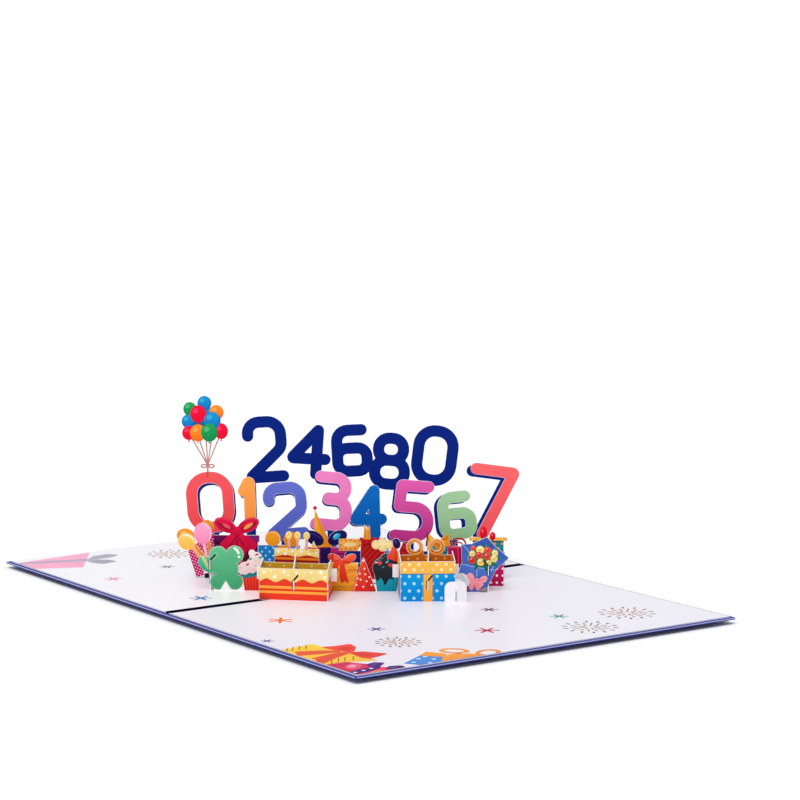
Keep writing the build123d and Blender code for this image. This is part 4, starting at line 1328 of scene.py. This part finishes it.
def printCakeBack():
    box = boxes["cake"]
    middle, rim = box["width"] / 2, deck + box["height"]
    top = rim + upperCake["height"]
    tier = inset(block(middle - upperCake["half"], middle + upperCake["half"], rim, top))
    golden, red, crest = upperCake["golden"], upperCake["red"], middle - upperCake["scallop"][1] / 2
    candles = [middle + side for side in upperCake["candles"]]
    wedge = outline((middle + 5.8, top - 1), (middle + 7.8, top + 3.8), (middle + 10, top - 1))
    crumbs = spots([(middle + x, top + z, radius) for x, z, radius in upperCake["crumbs"]])
    layers = cakeInside(insideBack(box)) + [
        (within(inset(insideBack(box)), above(rim - 0.6)), "#E3BC52"),
        (tier, ("#B31D14", "#9C150F")),
        (within(tier, block(0, pastSide, rim + golden[0], rim + golden[1])), ("#F08A2A", "#E2701C")),
        (within(tier, above(rim + red[0]), below(rim + red[1])), ("#CC2A1C", "#C02418")),
        (within(tier, above(rim + upperCake["cream"], *upperCake["scallop"], crest)), ("#FBE394", "#F2D070")),
        (within(tier, spots(upperCake["drops"])), "#FFFBEA"),
    ]
    tall, thick = upperCake["candle"]
    for x in candles:
        layers.append((stroke([(x, top - 0.1), (x, top + tall)], thick), ("#F2A58C", "#EE8A78")))
    for x in candles:
        layers += flame(x, top + tall)
    layers += [
        (inset(wedge), ("#F7DB82", "#EBBF5A")),
        (within(inset(wedge), block(middle + 5, middle + 11, top + 0.2, top + 0.8)), "#D2502C"),
        (crumbs, "#D89A3A"),
    ]
    printMotif("cakeBackPrint", (wallPlane(backStart(box), box["front"]), "cake_sheet"), layers, step=0.12)


ribbonLoop = {
    "apart": 4.9,  # from the gift's middle
    "level": 3.6,  # of the loop's middle over the rim, then of its hole's
    "holeLevel": 3.8,
    "radius": 3.9,
    "hole": 2.0,
    "lit": 2.85,  # inner radius of the lit crescent
    "line": (2.12, 2.4),  # radii of the pale line round the hole
}


def loopLayers(middle, rim, side):
    # one loop of ribbon on the rim, with its lit crescent and the dark where it folds
    x, high = middle + side * ribbonLoop["apart"], rim + ribbonLoop["holeLevel"]
    foot = outline((middle + side * 0.4, rim - 1), (middle + side * 1.2, rim + 3), (x, rim), (x, rim - 1))
    circle = disc(x, rim + ribbonLoop["level"], ribbonLoop["radius"])
    loop = inset(cutOut(join(circle, foot), disc(x, high, ribbonLoop["hole"])))
    crescent = inset(cutOut(circle, disc(x + side * 0.3, high, ribbonLoop["lit"])))
    small, large = ribbonLoop["line"]
    return [
        (loop, ("#EA8630", "#CE6A16")),
        (crescent, ("#FFBA6C", "#FBA048")),
        (cutOut(disc(x, high, large), disc(x, high, small)), "#F9B368"),
        (within(loop, disc(x - side * 1.9, rim + 1.9, 0.5)), "#B9540A"),
    ]


def printGiftBack():
    box = boxes["gift"]
    middle, rim = box["width"] / 2, deck + box["height"]
    layers = giftInside(insideBack(box))
    layers.append((within(inset(insideBack(box)), above(rim - 0.4)), "#DD8430"))
    for side in (-1, 1):
        layers += loopLayers(middle, rim, side)
    printMotif("giftBackPrint", (wallPlane(backStart(box), box["front"]), "gift_sheet"), layers, step=0.12)


# Prints that lie flat on the glossy inner sheets, clipped by their edges
linerSheet = ((Vector((0, 0, deck)), Vector((1, 0, 0)), Vector((0, 1, 0)), upward), "white_liner")
liner = {"half": 98.0, "fold": 1.25, "edge": 148.0, "corner": 0.4}
farPanel = block(-liner["half"], liner["half"], liner["fold"], liner["edge"], liner["corner"])
nearPanel = block(-liner["half"], liner["half"], -liner["edge"], -liner["fold"], liner["corner"])
panels = {"far": farPanel, "near": nearPanel}

asterisks = {  # x, y, reach, turn of its first arm and ink of each small star
    "far": [
        (-80.0, 80.2, 3.8, 25, "#E684AC"),
        (-44.4, 91.8, 3.4, 25, "#77777F"),
        (-69.9, 18.2, 4.6, 25, "#1F7DB8"),
    ],
    "near": [
        (-66.8, -43.1, 5.2, 55, "#F26C0C"),
        (-93.7, -74.8, 2.7, 25, "#4B4088"),
        (-43.0, -81.5, 3.4, 25, "#1F1E78"),
        (-6.0, -110.8, 4.8, 25, "#B8104C"),
        (20.8, -76.5, 3.6, 25, "#5A1038"),
        (37.2, -105.4, 3.8, 25, "#0F8E9A"),
    ],
}
bursts = {  # x, y, reach and the inks of its dashes
    "far": [(-26.5, 119.8, 10.6, "#7A5C48", "#C29A62")],
    "near": [
        (-50.1, -108.0, 9.4, "#54392C", "#B08A5E"),
        (34.2, -130.6, 11.8, "#3E3833", "#9A8668"),
        (65.8, -117.1, 12.2, "#6A2F20", "#B0704C"),
    ],
}


burstRings = [  # start and end as shares of the reach, then number, shift and width of the dashes
    (0.87, 1.0, 14, 0.3, 1.0),
    (0.5, 0.72, 14, 0.8, 0.75),
    (0.2, 0.42, 9, 0.2, 0.7),
]
starLook = {"arm": 0.26, "middle": 0.34}  # shares of the reach


def printOnLiner(name, layers, level=0, step=0.25):
    printMotif(name, linerSheet, layers, level, step, linerInk)


def asterisk(x, y, reach, first):
    arms = []
    for turn in (first, first + 60, first + 120):
        c, s = cosSin(turn)
        arms.append([(x - reach * c, y - reach * s), (x + reach * c, y + reach * s)])
    return join(strokes(starLook["arm"] * reach, *arms), disc(x, y, starLook["middle"] * reach))


def dashes(x, y, inner, outer, count, shift, width):
    lines = []
    for index in range(count):
        turn = 2 * math.pi * (index + shift) / count
        c, s = math.cos(turn), math.sin(turn)
        lines.append([(x + inner * c, y + inner * s), (x + outer * c, y + outer * s)])
    return strokes(width, *lines)


def printStars(side):
    for index, (x, y, reach, first, colour) in enumerate(asterisks[side]):
        star = within(panels[side], asterisk(x, y, reach, first))
        printOnLiner(f"{side}Star{index}Print", [(star, colour)], step=0.2)
    for index, (x, y, reach, dark, pale) in enumerate(bursts[side]):
        layers = []
        for (start, end, count, shift, width), ink in zip(burstRings, (dark, pale, pale)):
            layers.append((dashes(x, y, start * reach, end * reach, count, shift, width), ink))
        printOnLiner(f"{side}Burst{index}Print", layers, step=0.2)


# Painted shade of the fold's gap: its ink, its reach on the near and far sheets, and its foot and head on the
# cut faces
foldShade = {"ink": "#05041A", "near": 2.8, "far": 2.2, "foot": 0.8, "head": 1.32}


def printFoldShade():
    # painted shade of the gap at the fold: dark ink on the sheets beside it and on their cut faces
    half, fold, ink = liner["half"], liner["fold"], foldShade["ink"]
    beside = join(block(-half, half, -foldShade["near"], -fold), block(-half, half, fold, foldShade["far"]))
    printMotif("foldShadePrint", linerSheet, [(beside, ink)], -1, 0.4, foldShadeInk)
    for side, name in ((1, "far"), (-1, "near")):
        cutFace = (Vector((0, side * fold, 0)), Vector((side, 0, 0)), upward, Vector((0, -side, 0)))
        layers = [(block(-half, half, foldShade["foot"], foldShade["head"]), ink)]
        printMotif(f"{name}FoldEdgeShadePrint", (cutFace, "white_liner"), layers, -1, 0.25, foldShadeInk)


def printYellowGift():
    # yellow gift with a red bow at the near sheet's left edge
    body = outline((-99, -92.5), (-81.5, -90.4), (-80.6, -98), (-76.4, -131.6), (-88, -127.5), (-99, -126))
    lit = outline((-84, -90), (-80.6, -90.2), (-80.8, -98), (-83.2, -98.6))
    ribbons = join(
        softOutline(0.6, (-95.4, -98.8), (-86.2, -102.6), (-79.4, -107.2), (-80.2, -110.0), (-89.2, -108.5),
                    (-98.6, -106.0)),
        softOutline(0.6, (-81.8, -110.0), (-76.1, -112.0), (-78.7, -114.0), (-90.3, -119.4), (-99.5, -125.0),
                    (-99.5, -119.4), (-95.8, -115.5), (-97.3, -113.1)),
    )
    star = join(
        softOutline(1.2, (-82.2, -97.4), (-76.0, -99.4), (-68.4, -99.4), (-69.8, -105.7), (-73.4, -110.6),
                    (-77.0, -113.4), (-80.4, -107)),
        softOutline(1.0, (-78.4, -111.6), (-72.3, -114.6), (-65.9, -123.6), (-72.4, -125.8), (-77.6, -127.2),
                    (-79.3, -123.5)),
    )
    tickPlaces = [(-98.6, -97.6), (-95.4, -97.0), (-92.0, -96.7), (-88.8, -96.9), (-95.2, -125.6),
                  (-91.6, -125.0), (-88.4, -125.0), (-84.6, -125.4)]
    ticks = strokes(0.42, *[[(x, y), (x + 4.0, y + 5.7)] for x, y in tickPlaces])
    upperFold = softOutline(0.6, (-79.4, -105.6), (-74.4, -102.6), (-71.6, -105.4), (-76.2, -111.2))
    lowerFold = softOutline(0.6, (-78.2, -114.4), (-74.8, -117.0), (-71.8, -122.4), (-77.6, -122.6))
    printOnLiner("yellowGiftPrint", [
        (within(nearPanel, body), ("#FCCB3C", "#F5BC3A")),
        (within(nearPanel, body, lit), "#F9D72E"),
        (within(nearPanel, ticks), "#7E5A28"),
        (within(nearPanel, ribbons), ("#EA5A34", "#DE4C30")),
        (within(nearPanel, star), ("#F0503A", "#E8423A")),
        (within(nearPanel, upperFold), "#DC3A2C"),
        (within(nearPanel, lowerFold), "#DC3A2C"),
    ])


def printCornerGift():
    # pink gift with a purple bow in the near left corner
    crimson = softOutline(0.5, (-101, -129), (-98.2, -125.8), (-88.8, -126.4), (-82.8, -136.3),
                          (-85.9, -141.7), (-101, -145.4))
    foot = softOutline(0.6, (-101, -143), (-84, -141.4), (-75.8, -146.9), (-79, -151), (-101, -151))
    purple = join(
        softOutline(0.8, (-100.5, -143.5), (-93.3, -140.9), (-86.2, -140.2), (-84.9, -134.9), (-80, -133.8),
                    (-76.9, -136.9), (-81.6, -140.6), (-84.2, -144.0), (-89.6, -146.1), (-100.5, -147.6)),
        softOutline(1.0, (-83.4, -146.4), (-79.2, -142.9), (-74.2, -144.6), (-74.6, -148.8), (-80.4, -149.6)),
    )
    glints = strokes(0.7, [(-84.6, -138.6), (-80.4, -136.4)], [(-81.6, -146.4), (-77.4, -145.6)])
    printOnLiner("cornerGiftPrint", [
        (within(nearPanel, crimson), ("#CC2C58", "#D8304C")),
        (within(nearPanel, oval(-90.8, -134.8, 5.2, 3.2, 40)), "#DE5C7E"),
        (within(nearPanel, oval(-91.2, -134.2, 2.6, 1.8, 40)), "#EE9DB0"),
        (within(nearPanel, foot), ("#E8304E", "#F04A64")),
        (within(nearPanel, oval(-88.6, -147.4, 3.4, 0.9, 8)), "#F58A6E"),
        (within(nearPanel, purple), ("#4E2680", "#3E1C6C")),
        (within(nearPanel, glints), "#7650A8"),
        (within(nearPanel, spots([(-96.6, -144.6), (-91.8, -143.4), (-87.4, -142.4)], 0.9)), "#EFE0F2"),
    ], level=2)


def printLinerBlueGift():
    # blue dotted gift with orange loops at the near edge
    body = outline((-71.4, -142.0), (-57.4, -133.8), (-49.6, -144.0), (-54, -149), (-67.0, -149))
    places = [(-61.4, -138.5), (-56.6, -142.4), (-66.8, -142.6), (-62.0, -147.2), (-57.0, -136.8)]
    lid = outline((-57.7, -134.0), (-51.5, -129.6), (-46.6, -137.4), (-50.6, -142.6))
    ribbon = join(
        softOutline(0.8, (-51.6, -142.2), (-46.4, -138.6), (-41.0, -142.0), (-44.0, -149.8), (-59.0, -149.8)),
        softOutline(0.8, (-46.6, -141.4), (-38.6, -142.4), (-35.0, -149.8), (-47, -149.8)),
    )
    loops = []
    for x, y, wide, tall, turn in ((-40.9, -134.9, 6.4, 4.6, -48), (-31.4, -145.4, 6.2, 4.8, 20)):
        loops.append(cutOut(oval(x, y, wide, tall, turn), oval(x, y, wide - 2.1, tall - 1.9, turn)))
    creases = strokes(0.5, [(-45.6, -139.6), (-41.4, -140.6)], [(-48, -143.6), (-52, -147.6)])
    printOnLiner("linerBlueGiftPrint", [
        (within(nearPanel, body), ("#4E92DA", "#4686D2")),
        (within(nearPanel, spots(places, 1.0)), "#CBE6FA"),
        (within(nearPanel, lid), "#F39A34"),
        (within(nearPanel, ribbon), ("#F8A23C", "#F29330")),
        (within(nearPanel, join(*loops)), ("#F99E38", "#EF8A28")),
        (within(nearPanel, creases), "#D9771E"),
    ])


def printLinerPinkGift():
    # pink gift with a grey ribbon in the far left corner
    body = outline((-99, 141.2), (-56.8, 145.4), (-77.7, 113.7), (-99, 123.6))
    band = outline((-99, 141.4), (-99, 137.4), (-69.2, 126.3), (-65.0, 131.9))
    tails = join(
        softOutline(1.2, (-67.6, 129.2), (-59.6, 136.2), (-51.4, 136.9), (-48.2, 131.7), (-53.6, 128.8),
                    (-63, 127.9)),
        softOutline(1.2, (-69, 128.2), (-62.6, 127.0), (-58.2, 123.3), (-57.2, 117.4), (-65.4, 115.8),
                    (-68.4, 120.4)),
    )
    printOnLiner("linerPinkGiftPrint", [
        (within(farPanel, body), ("#F8B2CC", "#F6A7C6")),
        (within(farPanel, band), "#BCA9C6"),
        (within(farPanel, tails), ("#B0ACBC", "#A5A1B2")),
    ])


printNumbers()
printBunch()
print("numbers printed")
printRowFootShade()
printGinghamCone()
printPurpleGift()
printBlueGift()
printTallHat()
printMagentaGift()
printTag()
printStripedGift()
printDarkHat()
printTealGift()
printCrimsonBag()
printBigGift()
printRearBalloons()
printDottedBag()
print("number row printed")
printStickBalloons()
printClover()
printPaleCupcake()
printBowGift()
printConeHat()
printDarkCupcake()
printBouquet()
print("figure row printed")
printBox("cake", cakeOutside, cakeInside, "cake_sheet")
printBox("gift", giftOutside, giftInside, "gift_sheet")
printCakeBack()
printGiftBack()
print("boxes printed")
printStars("far")
printStars("near")
printFoldShade()
printYellowGift()
printCornerGift()
printLinerBlueGift()
printLinerPinkGift()
print("liners printed")


# Floor, light and camera
studio = {
    "floorSize": 14.0,
    "floor": "#FDFDFD",
    "floorDrop": 2.1,  # mm under the cover, which springs up a little from the table
    "floorLift": 0.1,  # strength of the floor's camera lift from liftEnd on
    "liftStart": 300,  # mm from the card's middle
    "liftEnd": 900,
    "worldStrength": 0.6,
    "sunPower": 1.34,
    "sunSpread": 35.0,
    "sunPlace": (-0.7, -0.5, 1.8),
    "keyPower": 9.5,
    "keyPlace": (-1.3, -1.1, 1.7),
    "keySize": 1.4,
    "aim": (0, 0, 0.02),
}
photoView = {
    "place": (-0.69975, -1.03389, 0.24948),
    "down": 7.380,
    "heading": 54.907,  # degrees from +X, seen from above
    "lens": 124.63,
    "sensor": 36.0,
    "clip": (0.01, 50),
}
white = (1, 1, 1, 1)


def onCamera(tree):
    return addNode(tree, "ShaderNodeLightPath").outputs["Is Camera Ray"]


def makeFloor():
    # Pale seamless paper: matt white, and lifted, only for the camera, where the lamps fade behind the card
    size = studio["floorSize"] / 2
    corners = [(-size, -size, 0), (size, -size, 0), (size, size, 0), (-size, size, 0)]
    mesh = bpy.data.meshes.new("floor")
    mesh.from_pydata(corners, [], [(0, 1, 2, 3)])
    floor = link(bpy.data.objects.new("floor", mesh))
    floor.location.z = -studio["floorDrop"] * mm
    inputs = {"Base Color": linear(studio["floor"]), "Roughness": 0.9, "Specular IOR Level": 0.1,
              "Emission Color": white}
    material, tree, shader = newMaterial("paleFloor", inputs)
    place = addNode(tree, "ShaderNodeTexCoord")
    distance = addNode(tree, "ShaderNodeVectorMath", {"operation": "LENGTH"},
                       links={0: place.outputs["Object"]})
    near, far = studio["liftStart"] * mm, studio["liftEnd"] * mm
    lift = addNode(tree, "ShaderNodeMapRange", inputs={1: near, 2: far, 3: 0.0, 4: studio["floorLift"]},
                   links={0: distance.outputs["Value"]})
    glow = addNode(tree, "ShaderNodeMath", {"operation": "MULTIPLY"},
                   links={0: lift.outputs[0], 1: onCamera(tree)})
    tree.links.new(glow.outputs["Value"], shader.inputs["Emission Strength"])
    mesh.materials.append(material)


def makeWorld():
    world = bpy.data.worlds.new("softRoom")
    world.use_nodes = True
    tree = world.node_tree
    tree.nodes.clear()
    strength = studio["worldStrength"]
    light = addNode(tree, "ShaderNodeBackground", inputs={"Color": white, "Strength": strength})
    page = addNode(tree, "ShaderNodeBackground", inputs={"Color": white, "Strength": 1.0})
    mix = addNode(tree, "ShaderNodeMixShader",
                  links={0: onCamera(tree), 1: light.outputs[0], 2: page.outputs[0]})
    addNode(tree, "ShaderNodeOutputWorld", links={"Surface": mix.outputs[0]})
    bpy.context.scene.world = world


def aim(thing, place):
    thing.location = place
    thing.rotation_euler = (Vector(studio["aim"]) - Vector(place)).to_track_quat("-Z", "Y").to_euler()


def makeLights():
    sun = bpy.data.lights.new("softSun", "SUN")
    sun.energy, sun.angle = studio["sunPower"], math.radians(studio["sunSpread"])
    aim(link(bpy.data.objects.new("softSun", sun)), studio["sunPlace"])
    key = bpy.data.lights.new("keyLight", "AREA")
    key.shape, key.size, key.energy = "DISK", studio["keySize"], studio["keyPower"]
    aim(link(bpy.data.objects.new("keyLight", key)), studio["keyPlace"])


def makeCamera():
    lens = bpy.data.cameras.new("photoCamera")
    lens.lens, lens.sensor_width = photoView["lens"], photoView["sensor"]
    lens.clip_start, lens.clip_end = photoView["clip"]
    camera = link(bpy.data.objects.new("photoCamera", lens))
    camera.location = photoView["place"]
    camera.rotation_euler = (math.radians(90 - photoView["down"]), 0, math.radians(photoView["heading"] - 90))
    bpy.context.scene.camera = camera


makeFloor()
makeWorld()
makeLights()
makeCamera()
bpy.context.scene.view_settings.view_transform = "Standard"
print("studio ready")
